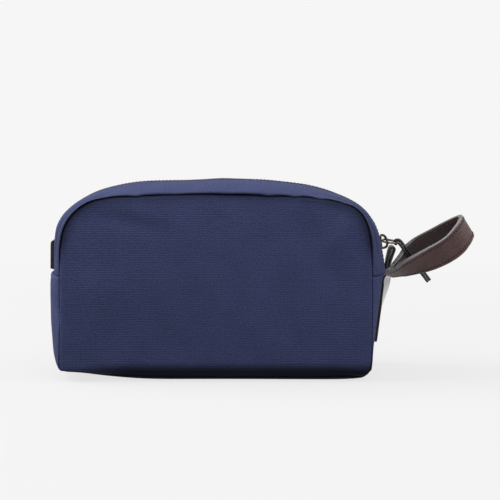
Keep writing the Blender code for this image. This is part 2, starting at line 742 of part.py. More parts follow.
def build():
    clear_scene()
    canvas = material("navy_canvas", (52, 58, 88), 0.85)
    lining = material("grey_lining", (96, 98, 104), 0.80)
    board = material("fibre_board", (70, 66, 60), 0.90)
    tape = material("black_tape", (24, 24, 27), 0.80)
    gunmetal = material("gunmetal", (78, 74, 70), 0.35, 1.0)
    black_leather = material("black_leather", (32, 32, 33), 0.50)
    brown_leather = material("brown_leather", (82, 66, 62), 0.45)
    dark_leather = material("dark_leather", (42, 31, 30), 0.60)

    # The bag itself.
    add_base_panel(canvas)
    board_low = CANVAS + 2 * GAP
    add_plate("base_board", *BOARD_HALF, BOARD_CORNER, board_low, board_low + BOARD_THICK, board)
    lining_low = board_low + BOARD_THICK + GAP
    lining_high = lining_low + LINING
    add_plate("base_lining", *BASE_LINING_HALF, BASE_LINING_CORNER, lining_low, lining_high, lining)
    add_side_gusset("side_gusset_left", -1, left_bulge, canvas)
    add_side_gusset("side_gusset_right", 1, right_bulge, canvas)
    add_side_lining("side_lining_left", -1, left_bulge, lining)
    add_side_lining("side_lining_right", 1, right_bulge, lining)
    add_panel("back_panel", 1, DEPTH, 0.0, CANVAS, canvas)
    add_panel("back_lining", 1, DEPTH - PANEL_LINING_LEVEL, PANEL_LINING_EDGE, LINING, lining)
    add_zip_gusset("zip_gusset_back", 1, canvas)
    add_zip_gusset_lining("zip_gusset_lining_back", 1, lining)
    add_tape("zip_tape_back", 1, tape)
    add_teeth("zip_teeth_back", 1, gunmetal)
    add_stop("zip_stop_left", zip_line()[0], -1, gunmetal)
    add_stop("zip_stop_right", zip_line()[-1], 1, gunmetal)
    add_tab_left(black_leather)
    add_tab_right(black_leather)
    add_strap_ends(black_leather)

    # The front half, which folds outwards to open the mouth.
    front = [
        add_panel("front_panel", -1, DEPTH, 0.0, CANVAS, canvas),
        add_panel("front_lining", -1, DEPTH - PANEL_LINING_LEVEL, PANEL_LINING_EDGE, LINING, lining),
        add_zip_gusset("zip_gusset_front", -1, canvas),
        add_zip_gusset_lining("zip_gusset_lining_front", -1, lining),
        add_tape("zip_tape_front", -1, tape),
        add_teeth("zip_teeth_front", -1, gunmetal),
    ]
    pivot("mouth_fold", (0, -DEPTH, SEAM_LOW_Z), front)

    # The slider, its puller and the lace.
    slider_parts = [add_slider_body(gunmetal), add_slider_bridge(gunmetal)]
    slider_arc = pivot("slider_arc", slider_centre(), slider_parts)
    puller = add_puller(gunmetal)
    puller_parts = [puller] + [cut.object for cut in puller.modifiers]
    puller_swing = pivot("puller_swing", puller_pivot(), puller_parts, slider_arc)
    lace_pivot = puller_place(sum(LACE_EYE) / 2, 0, 0)
    pivot("lace_swing", lace_pivot, [add_lace(black_leather)], puller_swing)

    # The wrist loop.
    pivot("loop_swing", LOOP_HINGE, add_wrist_loop(brown_leather, dark_leather))


build()
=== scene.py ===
"""Looks of the canvas shaving kit bag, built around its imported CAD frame.

Lengths are written in millimetres and turned into metres where a mesh is made.
+X is the end with the wrist loop, -Y the front, +Z up.
"""

import math

import bpy
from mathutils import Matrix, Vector, noise


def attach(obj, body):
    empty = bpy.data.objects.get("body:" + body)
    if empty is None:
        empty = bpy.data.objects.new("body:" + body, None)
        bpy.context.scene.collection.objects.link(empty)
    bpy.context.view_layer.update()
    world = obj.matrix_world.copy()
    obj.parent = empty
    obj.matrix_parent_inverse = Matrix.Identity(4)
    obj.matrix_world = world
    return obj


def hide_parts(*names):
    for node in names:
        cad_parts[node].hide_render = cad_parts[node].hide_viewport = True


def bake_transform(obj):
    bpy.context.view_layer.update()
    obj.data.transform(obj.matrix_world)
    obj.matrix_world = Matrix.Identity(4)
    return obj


MM = 0.001

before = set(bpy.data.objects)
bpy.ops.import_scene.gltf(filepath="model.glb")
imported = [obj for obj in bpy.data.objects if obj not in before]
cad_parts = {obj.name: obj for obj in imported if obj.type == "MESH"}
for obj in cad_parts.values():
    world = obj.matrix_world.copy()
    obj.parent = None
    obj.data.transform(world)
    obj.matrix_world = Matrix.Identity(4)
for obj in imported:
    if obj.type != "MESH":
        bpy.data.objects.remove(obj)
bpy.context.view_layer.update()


# ---------------- small helpers


def steps(first, last, count):
    return [first + (last - first) * k / count for k in range(count + 1)]


def smooth(t):
    t = min(1.0, max(0.0, t))
    return t * t * (3 - 2 * t)


def catmull(points, count):
    """count + 1 points, evenly placed in parameter, on a smooth curve through the given ones."""
    known = [Vector(p) for p in points]
    known = [2 * known[0] - known[1]] + known + [2 * known[-1] - known[-2]]
    found = []
    for t in steps(0, len(points) - 1, count):
        k = min(int(t), len(points) - 2)
        u = t - k
        a, b, c, d = known[k : k + 4]
        curve = 2 * b + (c - a) * u + (2 * a - 5 * b + 4 * c - d) * u**2 + (3 * b - a - 3 * c + d) * u**3
        found.append(curve / 2)
    return found


def lengths(line):
    """The distance along a line to each of its points."""
    found = [0.0]
    for a, b in zip(line, line[1:]):
        found.append(found[-1] + (b - a).length)
    return found


def resampled(line, count):
    """count + 1 points spaced evenly along a line."""
    along = lengths(line)
    found = []
    k = 0
    for s in steps(0, along[-1], count):
        while k < len(line) - 2 and along[k + 1] < s:
            k += 1
        found.append(line[k].lerp(line[k + 1], (s - along[k]) / (along[k + 1] - along[k])))
    return found


def wave(x, y, z, size, seed):
    """Smooth noise from about -1 to 1 with features about size millimetres apart."""
    return noise.noise(Vector((x / size + 17.3 * seed, y / size - 5.1 * seed, z / size + 3.7 * seed)))


def hump(value, middle, width):
    """A bell curve: 1 at the middle, and lower by a factor of e at a width from it."""
    return math.exp(-(((value - middle) / width) ** 2))


def blunted(value, power):
    """A sine or cosine raised to a power under 1 with its sign kept, which squares off a circle."""
    return math.copysign(abs(value) ** power, value)


def ahead_of(line, k):
    """The direction of a line at its point k."""
    return (line[min(k + 1, len(line) - 1)] - line[max(k - 1, 0)]).normalized()


def placed(name, data):
    """An object of the data, put in the scene."""
    made = bpy.data.objects.new(name, data)
    bpy.context.scene.collection.objects.link(made)
    return made


# ---------------- meshes


def outward(points, faces):
    """The faces, all turned over if the closed body they make is inside out."""
    inside = 0.0
    for f in faces:
        a = points[f[0]]
        for b, c in zip(f[1:], f[2:]):
            inside += a.dot(points[b].cross(points[c]))
    return faces if inside > 0 else [f[::-1] for f in faces]


def piece(name, points, faces, looks, uvs=None, slots=None, shade=None, closed=True):
    """A mesh object from points in millimetres.

    shade is how much painted shade each point gets, from 0 to 1, stored as its seam attribute. A closed body is
    made to face outward."""
    if closed:
        faces = outward(points, faces)
    mesh = bpy.data.meshes.new(name)
    mesh.from_pydata([tuple(MM * c for c in p) for p in points], [], faces)
    for look in looks:
        mesh.materials.append(look)
    if slots:
        mesh.polygons.foreach_set("material_index", slots)
    if uvs:
        layer = mesh.uv_layers.new(name="UVMap")
        for loop in mesh.loops:
            layer.data[loop.index].uv = [MM * c for c in uvs[loop.vertex_index]]
    # The seam attribute carries painted shade, which the canvas mixes into its colour.
    if shade:
        mesh.attributes.new("seam", "FLOAT", "POINT").data.foreach_set("value", shade)
    mesh.shade_smooth()
    mesh.update()
    return placed(name, mesh)


def quads(rows, columns, wrap=False, start=0):
    """The faces of a grid of points, whose rows are closed rings if it wraps."""
    faces = []
    for r in range(rows - 1):
        for c in range(columns if wrap else columns - 1):
            d = (c + 1) % columns
            a, b = start + r * columns, start + (r + 1) * columns
            faces.append((a + c, a + d, b + d, b + c))
    return faces


def grid_normals(grid, wrap=False):
    rows, columns = len(grid), len(grid[0])
    found = []
    for r in range(rows):
        row = []
        for c in range(columns):
            if wrap:
                along = grid[r][(c + 1) % columns] - grid[r][(c - 1) % columns]
            else:
                along = grid[r][min(c + 1, columns - 1)] - grid[r][max(c - 1, 0)]
            across = grid[min(r + 1, rows - 1)][c] - grid[max(r - 1, 0)][c]
            row.append(along.cross(across).normalized())
        found.append(row)
    return found


TURNED_THINNESS = 0.3  # a turned-in edge's share of the cloth's thickness


def cloth(name, grid, uv, thickness, looks, turned=lambda r, c: False, shade=(), normals=None):
    """A closed sheet on a grid. Its outer side is where column then row turn anticlockwise.

    looks is the outer face's material and the inner face's. Where turned(row, column) is true the
    sheet is a thin turned-in edge with the outer material on both faces. uv, shade and normals are
    rows like the grid's."""
    rows, columns = len(grid), len(grid[0])
    normals = normals or grid_normals(grid)
    outer = [p for row in grid for p in row]
    inner = []
    for r, (row, ns) in enumerate(zip(grid, normals)):
        for c, (p, n) in enumerate(zip(row, ns)):
            inner.append(p - (TURNED_THINNESS if turned(r, c) else 1.0) * thickness * n)
    count = len(outer)
    faces = quads(rows, columns)
    slots = [0] * len(faces)
    for r in range(rows - 1):
        slots += [0 if turned(r, c) or turned(r + 1, c + 1) else 1 for c in range(columns - 1)]
    faces += [f[::-1] for f in quads(rows, columns, start=count)]
    rim = [(0, c) for c in range(columns)] + [(r, columns - 1) for r in range(1, rows)]
    rim += [(rows - 1, c) for c in range(columns - 2, -1, -1)] + [(r, 0) for r in range(rows - 2, 0, -1)]
    ids = [r * columns + c for r, c in rim]
    for a, b in zip(ids, ids[1:] + ids[:1]):
        faces.append((b, a, a + count, b + count))
        slots.append(0)
    coords = [q for row in uv for q in row]
    tones = [t for row in shade for t in row]
    return piece(name, outer + inner, faces, looks, 2 * coords, slots, 2 * tones)


def joined(name, parts, look):
    """One object from several closed bodies, given as their points and faces."""
    points, faces = [], []
    for part_points, part_faces in parts:
        start = len(points)
        points += part_points
        faces += [tuple(start + k for k in f) for f in outward(part_points, part_faces)]
    return piece(name, points, faces, [look])


# Along a stitch: the place, the share of its width, and the rise of its middle.
STITCH_PROFILE = ((-0.5, 0.34, -0.55), (-0.34, 0.82, 0), (0, 1, 0.22), (0.34, 0.82, 0), (0.5, 0.34, -0.55))


def pod(centre, along, side, up, length, width, height):
    """A stitch: a short rounded thread lying along a direction, pointed into the cloth at its ends."""
    points = []
    for t, part, rise in STITCH_PROFILE:
        middle = centre + along * (t * length) + up * (rise * height)
        for a in steps(0, 2 * math.pi, 6)[:-1]:
            wide, high = 0.5 * width * part * math.cos(a), 0.5 * height * part * math.sin(a)
            points.append(middle + side * wide + up * high)
    faces = quads(len(STITCH_PROFILE), 6, wrap=True)
    faces += [tuple(range(6))[::-1], tuple(range(len(points) - 6, len(points)))]
    return points, faces


def stitch_row(line, ups, pitch, length, width, height):
    """Stitches along a line, with the outward direction at each of its points."""
    along = lengths(line)
    count = int(along[-1] / pitch)
    parts = []
    k = 0
    for s in [pitch * (n + 0.5) for n in range(count)]:
        while k < len(line) - 2 and along[k + 1] < s:
            k += 1
        t = (s - along[k]) / (along[k + 1] - along[k])
        centre = line[k].lerp(line[k + 1], t)
        ahead = (line[k + 1] - line[k]).normalized()
        up = ups[k].lerp(ups[k + 1], t)
        up = (up - up.dot(ahead) * ahead).normalized()
        parts.append(pod(centre, ahead, ahead.cross(up), up, length, width, height))
    return parts


# ---------------- materials


def shader(name, colour, roughness, metallic=0.0, specular=0.5):
    look = bpy.data.materials.new(name)
    look.use_nodes = True
    tree = look.node_tree
    base = tree.nodes["Principled BSDF"]
    base.inputs["Base Color"].default_value = (*colour, 1)
    base.inputs["Roughness"].default_value = roughness
    base.inputs["Metallic"].default_value = metallic
    base.inputs["Specular IOR Level"].default_value = specular
    return look, tree, base


def math_node(tree, operation, a, b=None, c=None):
    made = tree.nodes.new("ShaderNodeMath")
    made.operation = operation
    for k, value in enumerate((a, b, c)):
        if value is None:
            continue
        if isinstance(value, (int, float)):
            made.inputs[k].default_value = value
        else:
            tree.links.new(value, made.inputs[k])
    return made.outputs[0]


def plus(tree, value, times, more):
    """value * times + more"""
    return math_node(tree, "MULTIPLY_ADD", value, times, more)


def noise_node(tree, place, scale, detail=2.0, roughness=0.5):
    made = tree.nodes.new("ShaderNodeTexNoise")
    made.inputs["Scale"].default_value = scale
    made.inputs["Detail"].default_value = detail
    made.inputs["Roughness"].default_value = roughness
    tree.links.new(place, made.inputs["Vector"])
    return made.outputs["Fac"]


def ramp(tree, value, low, high, dark, light):
    """Blends two colours as value goes from low to high."""
    span = tree.nodes.new("ShaderNodeMapRange")
    span.inputs["From Min"].default_value = low
    span.inputs["From Max"].default_value = high
    tree.links.new(value, span.inputs["Value"])
    mix = tree.nodes.new("ShaderNodeMix")
    mix.data_type = "RGBA"
    tree.links.new(span.outputs["Result"], mix.inputs["Factor"])
    mix.inputs["A"].default_value = (*dark, 1)
    mix.inputs["B"].default_value = (*light, 1)
    return mix.outputs["Result"]


def bump(tree, base, height, distance):
    """Raises the surface by a height of up to distance millimetres."""
    made = tree.nodes.new("ShaderNodeBump")
    made.inputs["Distance"].default_value = distance * MM
    made.inputs["Strength"].default_value = 1.0
    tree.links.new(height, made.inputs["Height"])
    tree.links.new(made.outputs["Normal"], base.inputs["Normal"])


def object_place(tree):
    return tree.nodes.new("ShaderNodeTexCoord").outputs["Object"]


def uv_parts(tree):
    """The piece's own surface coordinates, and u and v alone in millimetres."""
    made = tree.nodes.new("ShaderNodeUVMap")
    made.uv_map = "UVMap"
    split = tree.nodes.new("ShaderNodeSeparateXYZ")
    tree.links.new(made.outputs["UV"], split.inputs[0])
    u = math_node(tree, "MULTIPLY", split.outputs["X"], 1000.0)
    v = math_node(tree, "MULTIPLY", split.outputs["Y"], 1000.0)
    return made.outputs["UV"], u, v


# The colour of the painted shade in the canvas's seams and under the bag.
PAINTED_SHADE_COLOUR = (0.004, 0.005, 0.010)


def woven(name, dark, light, rib, thread, depth, roughness, sheen, seams=False):
    """Plain weave with ribs across it. rib and thread are pitches in millimetres; ribs are level in v.

    With seams it mixes painted shade into its colour by the mesh's seam attribute: the shade that falls in
    seams, under the bag and lower down."""
    look, tree, base = shader(name, light, roughness, specular=0.12)
    base.inputs["Sheen Weight"].default_value = sheen
    base.inputs["Sheen Roughness"].default_value = 0.45
    uv, u, v = uv_parts(tree)
    drift = noise_node(tree, uv, 45.0, 2.0)
    slub = noise_node(tree, uv, 900.0, 3.0, 0.65)
    tuft = noise_node(tree, object_place(tree), 2300.0, 2.0, 0.7)
    phase = plus(tree, drift, 0.8, math_node(tree, "MULTIPLY", v, 2 * math.pi / rib))
    phase = plus(tree, slub, 1.3, phase)
    ribs = math_node(tree, "SINE", phase)
    rib_number = math_node(tree, "FLOOR", math_node(tree, "MULTIPLY", v, 1 / rib))
    turn = math_node(tree, "MULTIPLY", rib_number, math.pi)
    weft = plus(tree, u, 2 * math.pi / thread, turn)
    weft = math_node(tree, "SINE", plus(tree, slub, 1.5, weft))
    height = plus(tree, ribs, 0.34, math_node(tree, "MULTIPLY", weft, 0.20))
    height = plus(tree, slub, 0.55, height)
    height = plus(tree, tuft, 0.30, height)
    tone = plus(tree, slub, 1.5, math_node(tree, "MULTIPLY", ribs, 0.13))
    tone = plus(tree, weft, 0.07, tone)
    tone = plus(tree, tuft, 0.5, tone)
    tone = plus(tree, drift, 0.25, tone)
    colour = ramp(tree, tone, 0.70, 1.55, dark, light)
    if seams:
        # Painted shade from the mesh's seam attribute, its edge made a little uneven by noise.
        wear_and_painted_shade = tree.nodes.new("ShaderNodeAttribute")
        wear_and_painted_shade.attribute_name = "seam"
        edge = plus(tree, slub, 0.25, math_node(tree, "SUBTRACT", wear_and_painted_shade.outputs["Fac"], 0.12))
        mix = tree.nodes.new("ShaderNodeMix")
        mix.data_type = "RGBA"
        mix.clamp_factor = True
        tree.links.new(edge, mix.inputs["Factor"])
        tree.links.new(colour, mix.inputs["A"])
        mix.inputs["B"].default_value = (*PAINTED_SHADE_COLOUR, 1)
        colour = mix.outputs["Result"]
    tree.links.new(colour, base.inputs["Base Color"])
    bump(tree, base, height, depth)
    return look


def leather(name, dark, light, roughness, grain, depth, coat=0.0):
    """Grained leather in uneven patches. grain is a pebble's size and depth its height, in millimetres."""
    look, tree, base = shader(name, light, roughness, specular=0.45)
    base.inputs["Coat Weight"].default_value = coat
    base.inputs["Coat Roughness"].default_value = 0.22
    place = object_place(tree)
    cells = tree.nodes.new("ShaderNodeTexVoronoi")
    cells.feature = "F1"
    cells.inputs["Scale"].default_value = 1000.0 / grain
    cells.inputs["Randomness"].default_value = 0.95
    tree.links.new(place, cells.inputs["Vector"])
    pebble = cells.outputs["Distance"]
    fine = noise_node(tree, place, 1700.0 / grain, 4.0, 0.6)
    patch = noise_node(tree, place, 28.0, 3.0, 0.6)
    tone = plus(tree, fine, 0.35, patch)
    tone = plus(tree, math_node(tree, "SUBTRACT", pebble, 0.45), -0.30, tone)
    tree.links.new(ramp(tree, tone, 0.48, 0.88, dark, light), base.inputs["Base Color"])
    height = plus(tree, pebble, 0.7, fine)
    bump(tree, base, height, depth)
    gloss = plus(tree, patch, 0.22, roughness - 0.11)
    tree.links.new(gloss, base.inputs["Roughness"])
    return look


def plated(name, dark, light, roughness):
    """Plated metal with worn patches and fine scratches."""
    look, tree, base = shader(name, light, roughness, metallic=1.0)
    place = object_place(tree)
    wear_and_painted_shade = noise_node(tree, place, 420.0, 3.0, 0.6)
    tree.links.new(ramp(tree, wear_and_painted_shade, 0.40, 0.62, dark, light), base.inputs["Base Color"])
    fine = noise_node(tree, place, 900.0, 2.0)
    tree.links.new(plus(tree, fine, 0.20, roughness - 0.1), base.inputs["Roughness"])
    bump(tree, base, fine, 0.02)
    return look


def spun(name, dark, light):
    """Sewing thread."""
    look, tree, base = shader(name, light, 0.65, specular=0.35)
    twist = noise_node(tree, object_place(tree), 2600.0, 2.0)
    tree.links.new(ramp(tree, twist, 0.35, 0.65, dark, light), base.inputs["Base Color"])
    bump(tree, base, twist, 0.05)
    return look


def painted(name, dark, light, roughness, back=None):
    """Edge paint: smooth, a little uneven and worn. back is how much paler it grows towards the front, a
    painted shade that darkens the edge along the strap's far band.
    """
    look, tree, base = shader(name, light, roughness, specular=0.5)
    place = object_place(tree)
    patch = noise_node(tree, place, 160.0, 4.0, 0.6)
    # Painted shade: the paint grows darker towards the back, along the strap's far band.
    if back:
        split = tree.nodes.new("ShaderNodeSeparateXYZ")
        tree.links.new(place, split.inputs[0])
        patch = plus(tree, split.outputs["Y"], -back, patch)
    tree.links.new(ramp(tree, patch, 0.35, 0.66, dark, light), base.inputs["Base Color"])
    bump(tree, base, noise_node(tree, place, 700.0, 2.0), 0.05)
    return look


# The canvas mixes in painted shade from its meshes' seam attribute.
CANVAS = woven(
    "navy_canvas", (0.026, 0.032, 0.080), (0.094, 0.114, 0.272), 1.25, 0.72, 0.20, 0.92, 0.02, seams=True
)
LINING = woven("grey_lining", (0.10, 0.105, 0.12), (0.20, 0.205, 0.225), 0.55, 0.55, 0.05, 0.62, 0.25)
TAPE = woven("black_tape", (0.008, 0.008, 0.010), (0.020, 0.020, 0.023), 0.9, 0.6, 0.10, 0.75, 0.15)
BROWN = leather("brown_leather", (0.076, 0.036, 0.032), (0.168, 0.092, 0.085), 0.52, 1.15, 0.22, coat=0.04)
DARK_BROWN = leather("dark_leather", (0.020, 0.010, 0.009), (0.050, 0.030, 0.028), 0.62, 1.2, 0.22)
BLACK = leather("black_leather", (0.012, 0.012, 0.013), (0.030, 0.030, 0.031), 0.42, 0.7, 0.06, coat=0.1)
GLOSSY_BLACK = leather(
    "glossy_black_leather", (0.016, 0.015, 0.015), (0.040, 0.036, 0.036), 0.30, 0.9, 0.002, coat=1.0
)
TAB = leather("tab_leather", (0.012, 0.009, 0.008), (0.045, 0.030, 0.025), 0.48, 0.7, 0.07, coat=0.1)
# Its back paints shade on the edges of the strap's far band.
EDGE_GREY = painted("edge_paint_grey", (0.045, 0.040, 0.042), (0.22, 0.20, 0.205), 0.45, back=26.0)
EDGE_BLACK = painted("edge_paint_black", (0.012, 0.011, 0.012), (0.035, 0.032, 0.034), 0.40)
GUNMETAL = plated("gunmetal", (0.016, 0.013, 0.011), (0.12, 0.088, 0.058), 0.30)
BRIGHT = plated("bright_edge_metal", (0.06, 0.05, 0.04), (0.48, 0.42, 0.34), 0.24)
NAVY_THREAD = spun("navy_thread", (0.05, 0.06, 0.13), (0.12, 0.14, 0.26))
DARK_THREAD = spun("dark_thread", (0.006, 0.004, 0.004), (0.022, 0.012, 0.011))
RUST_THREAD = spun("rust_thread", (0.07, 0.022, 0.018), (0.20, 0.085, 0.07))
LACE = leather("black_lace_leather", (0.010, 0.010, 0.011), (0.034, 0.034, 0.036), 0.40, 0.5, 0.08, coat=0.15)
BOARD = leather("fibre_board", (0.05, 0.045, 0.035), (0.10, 0.09, 0.07), 0.85, 1.6, 0.08)


# ---------------- camera, lights, floor


def turned_to(place, target):
    return (Vector(target) - Vector(place)).to_track_quat("-Z", "Y").to_euler()


CAMERA_TARGET = Vector((24.5, 0, 94)) * MM
CAMERA_AWAY = 1.3
CAMERA_RISE = math.radians(5.0)
CAMERA_LENS = 122.0


def add_camera():
    data = bpy.data.cameras.new("camera")
    data.lens = CAMERA_LENS
    data.sensor_width = 36.0
    data.clip_start = 0.05
    data.clip_end = 60
    made = placed("camera", data)
    made.location = CAMERA_TARGET + CAMERA_AWAY * Vector((0, -math.cos(CAMERA_RISE), math.sin(CAMERA_RISE)))
    made.rotation_euler = turned_to(made.location, CAMERA_TARGET)
    bpy.context.scene.camera = made


def add_area(name, place, target, size, power):
    """A rectangular lamp. Its place and size are in metres and its power in watts."""
    data = bpy.data.lights.new(name, "AREA")
    data.shape = "RECTANGLE"
    data.size, data.size_y = size
    data.energy = power
    made = placed(name, data)
    made.location = place
    made.rotation_euler = turned_to(place, target)


def add_world(above, below):
    """A dim studio: soft light from above the horizon and much less from below it."""
    world = bpy.data.worlds.new("studio")
    world.use_nodes = True
    tree = world.node_tree
    split = tree.nodes.new("ShaderNodeSeparateXYZ")
    tree.links.new(tree.nodes.new("ShaderNodeTexCoord").outputs["Generated"], split.inputs[0])
    light = ramp(tree, split.outputs["Z"], -0.05, 0.15, (below, below, below), (above, above, above * 1.03))
    tree.links.new(light, tree.nodes["Background"].inputs["Color"])
    bpy.context.scene.world = world


# The floor's profile in metres: level from the front to FLOOR_BEND, then a quarter circle, then upright.
FLOOR_FRONT = -4.0
FLOOR_BEND = 2.2
FLOOR_RADIUS = 1.5
FLOOR_TOP = 4.0
FLOOR_HALF_WIDTH = 9.0
# Its colours under the bag and far from it, where only the glow is left.
FLOOR_NEAR, FLOOR_FAR = 0.35, 1.0
FLOOR_DIFFUSE = ((0.13, 0.13, 0.13), (0, 0, 0))
FLOOR_GLOW = ((0.735, 0.735, 0.735), (0.921, 0.921, 0.921))


def floor_look():
    look, tree, base = shader("studio_floor", (0.2, 0.2, 0.2), 0.9, specular=0.0)
    place = object_place(tree)
    far = tree.nodes.new("ShaderNodeVectorMath")
    far.operation = "LENGTH"
    tree.links.new(place, far.inputs[0])
    tone = plus(tree, noise_node(tree, place, 3.0), 0.02, far.outputs["Value"])
    for colours, socket in ((FLOOR_DIFFUSE, "Base Color"), (FLOOR_GLOW, "Emission Color")):
        tree.links.new(ramp(tree, tone, FLOOR_NEAR, FLOOR_FAR, *colours), base.inputs[socket])
    base.inputs["Emission Strength"].default_value = 1.0
    return look


def add_floor():
    """A pale, back-lit sheet that runs level under the bag and curves up far behind it."""
    profile = [(FLOOR_FRONT, 0.0), (FLOOR_BEND, 0.0)]
    for a in steps(0, math.pi / 2, 16)[1:]:
        profile.append((FLOOR_BEND + FLOOR_RADIUS * math.sin(a), FLOOR_RADIUS * (1 - math.cos(a))))
    profile.append((FLOOR_BEND + FLOOR_RADIUS, FLOOR_TOP))
    points = [Vector((x, y, z)) / MM for y, z in profile for x in (-FLOOR_HALF_WIDTH, FLOOR_HALF_WIDTH)]
    floor = piece("studio_floor", points, quads(len(profile), 2), [floor_look()], closed=False)
    floor.visible_diffuse = False


add_camera()
add_world(0.45, 0.06)
add_floor()
add_area("key", (-1.7, 0.1, 1.5), (0, 0, 0.05), (1.6, 1.6), 47)
add_area("top", (0.2, 0.6, 2.4), (0, 0, 0.08), (2.6, 1.6), 9)
add_area("front_fill", (0.2, -2.3, 1.9), (0, 0, 0.08), (2.4, 1.4), 20)
add_area("right_fill", (2.2, -0.7, 1.1), (0, 0, 0.08), (1.2, 1.2), 18)
bpy.context.scene.view_settings.view_transform = "Standard"


# ---------------- the puller's lace

LACE_THICK = 2.1
LACE_APART = 1.08  # from the lace's middle to each strand's
LACE_STEPS = 60
LACE_ROUTE = (
    (138.0, -0.4, 101.2), (139.9, -1.0, 99.4), (142.9, -2.2, 95.4), (146.4, -0.8, 90.4),
    (150.8, 3.4, 84.4), (156.0, 7.8, 78.0), (160.0, 9.6, 73.0), (163.0, 10.2, 69.0),
)
# The lace's bend through the puller, between the ends of its strands.
LACE_FOLD = (
    (136.6, -0.5, 101.9), (135.6, -0.3, 101.2), (135.3, 0, 100.2), (135.5, 0.2, 99.2), (136.6, -0.1, 98.6),
)


def smooth_curve(name, line, thick, look):
    """A round cord along a line of points in millimetres."""
    data = bpy.data.curves.new(name, "CURVE")
    data.dimensions = "3D"
    data.bevel_depth = thick * MM / 2
    data.bevel_resolution = 5
    data.use_fill_caps = True
    data.materials.append(look)
    spline = data.splines.new("POLY")
    spline.points.add(len(line) - 1)
    for point, place in zip(spline.points, line):
        point.co = (*(MM * c for c in place), 1)
    return placed(name, data)


def lace_strand(name, side):
    """One of the lace's two strands, above the middle between them or below it. Returns its line."""
    middle = catmull(LACE_ROUTE, LACE_STEPS)
    line = []
    for k, p in enumerate(middle):
        along = ahead_of(middle, k)
        beside = Vector((-along.z, 0, along.x)).normalized()
        line.append(p + side * LACE_APART * beside)
    made = smooth_curve(name, line, LACE_THICK, LACE)
    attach(made, "lace")
    return line


def add_lace():
    upper = lace_strand("lace_strand_upper", 1)
    lower = lace_strand("lace_strand_lower", -1)
    bend = [upper[0]] + [Vector(p) for p in LACE_FOLD] + [lower[0]]
    fold = smooth_curve("lace_fold", catmull(bend, 30), LACE_THICK * 0.96, LACE)
    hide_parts("pull_lace")
    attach(fold, "lace")


add_lace()


# ---------------- the bag's outline

# Seen from the front, anticlockwise from the bottom left corner, x and z.
SEAM_OUTLINE = (
    (-116.4, 8.6), (-109.5, 8.1), (-99, 7.3), (-87, 5.8), (-73, 4.4), (-58, 3.3), (-40, 2.8), (-14, 2.8),
    (14, 2.8), (42, 2.7), (66, 2.6), (84, 2.6), (96, 2.8), (105, 3.4), (110.8, 4.6), (113.6, 7.6),
    (114.6, 12.8), (114.8, 21), (114.9, 34), (115.0, 50), (115.0, 66), (114.8, 80), (114.4, 93),
    (113.5, 105), (111.5, 114.8), (107.9, 123.0), (102.4, 128.8), (95.3, 132.2), (86.5, 134.5), (76, 136.2),
    (61, 137.7), (42, 138.3), (20, 139.2), (-4, 139.6), (-28, 139.3), (-50, 138.4), (-66, 137.9),
    (-77, 137.4), (-86, 136.1), (-94, 133.6), (-101.4, 129.2), (-107.6, 123.1), (-111.8, 115.9),
    (-114.3, 107.4), (-115.6, 97.5), (-116.1, 84), (-116.3, 68), (-116.3, 50), (-116.6, 34), (-117.1, 20),
    (-117.3, 12.5),
)
CREST_LEFT = (
    (-124.4, 79), (-124.5, 88), (-124.6, 97), (-124.1, 104.6), (-122.4, 112.2), (-119.4, 119.0),
    (-114.9, 124.8), (-108.9, 130.0), (-101.4, 134.6), (-92.4, 138.8), (-82, 142.2), (-70, 145.0),
    (-56, 146.7),
)
CREST_TOP = ((-40, 147.3), (-22, 147.4), (-3, 148.4), (14, 148.3), (34, 147.9), (52, 146.2), (67, 144.1))
CREST_RIGHT = (
    (80, 141.0), (91, 137.0), (100, 133.2), (107.2, 129.2), (112.6, 124.7), (116.4, 120.0), (119.6, 115.0),
    (121.9, 109.7), (123.3, 104.8),
)
CREST_FOOT = ((124.2, 100.8), (125.3, 95.2), (126.4, 89.5), (127.4, 83.5), (128.0, 79.0))
SEAM_Z = 79.0  # the level seam between the zip gusset and the side gussets
HALF_DEPTH = 52.0
SEAM_Y = 51.3  # where the gussets' curve meets the seams, from the bag's middle
EDGE_ROW = 51.2  # the gussets' last row before their turned-in edges
TURNED_IN = ((46.6, -0.05), (48.4, 0.2), (49.8, 0.42), (50.7, 0.55))  # depth, and out from the seam
FOLD_ROW = 6.9  # where the gusset's folded edge beside the zip begins
CLOTH = 1.1
OUTLINE_COUNT = 330
ARCH_COUNT = 250
PANEL_CENTRE = (0, 68)
PANEL_RIM = 3.2  # how deep the panels' turned rim is
# The panels' rings, as shares of the way from the outline to the centre.
PANEL_RINGS = (
    0, 0.0022, 0.005, 0.009, 0.014, 0.020, 0.028, 0.038, 0.051, 0.068, 0.090, 0.117, 0.150,
    0.19, 0.24, 0.30, 0.37, 0.45, 0.54, 0.64, 0.75, 0.86, 0.95,
)


def flat(x, z):
    return Vector((x, 0, z))


def closed_outline():
    ring = [flat(x, z) for x, z in SEAM_OUTLINE]
    curve = catmull(ring[-2:] + ring + ring[:2], 10 * (len(ring) + 3))
    return resampled(curve[20:-19] + [curve[20]], OUTLINE_COUNT)[:-1]


OUTLINE = closed_outline()


def outline_arch():
    """The part of the outline above the level seam, from the left foot over the top to the right."""
    ring = OUTLINE[::-1]
    top = max(range(len(ring)), key=lambda k: ring[k].z)
    left = next(k for k in range(top, top - len(ring), -1) if ring[k].z < SEAM_Z)
    right = next(k for k in range(top, top + len(ring)) if ring[k % len(ring)].z < SEAM_Z)
    line = [ring[k % len(ring)].copy() for k in range(left, right + 1)]
    line[0] = line[0].lerp(line[1], (SEAM_Z - line[0].z) / (line[1].z - line[0].z))
    line[-1] = line[-1].lerp(line[-2], (SEAM_Z - line[-1].z) / (line[-2].z - line[-1].z))
    return resampled(line, 3 * ARCH_COUNT)


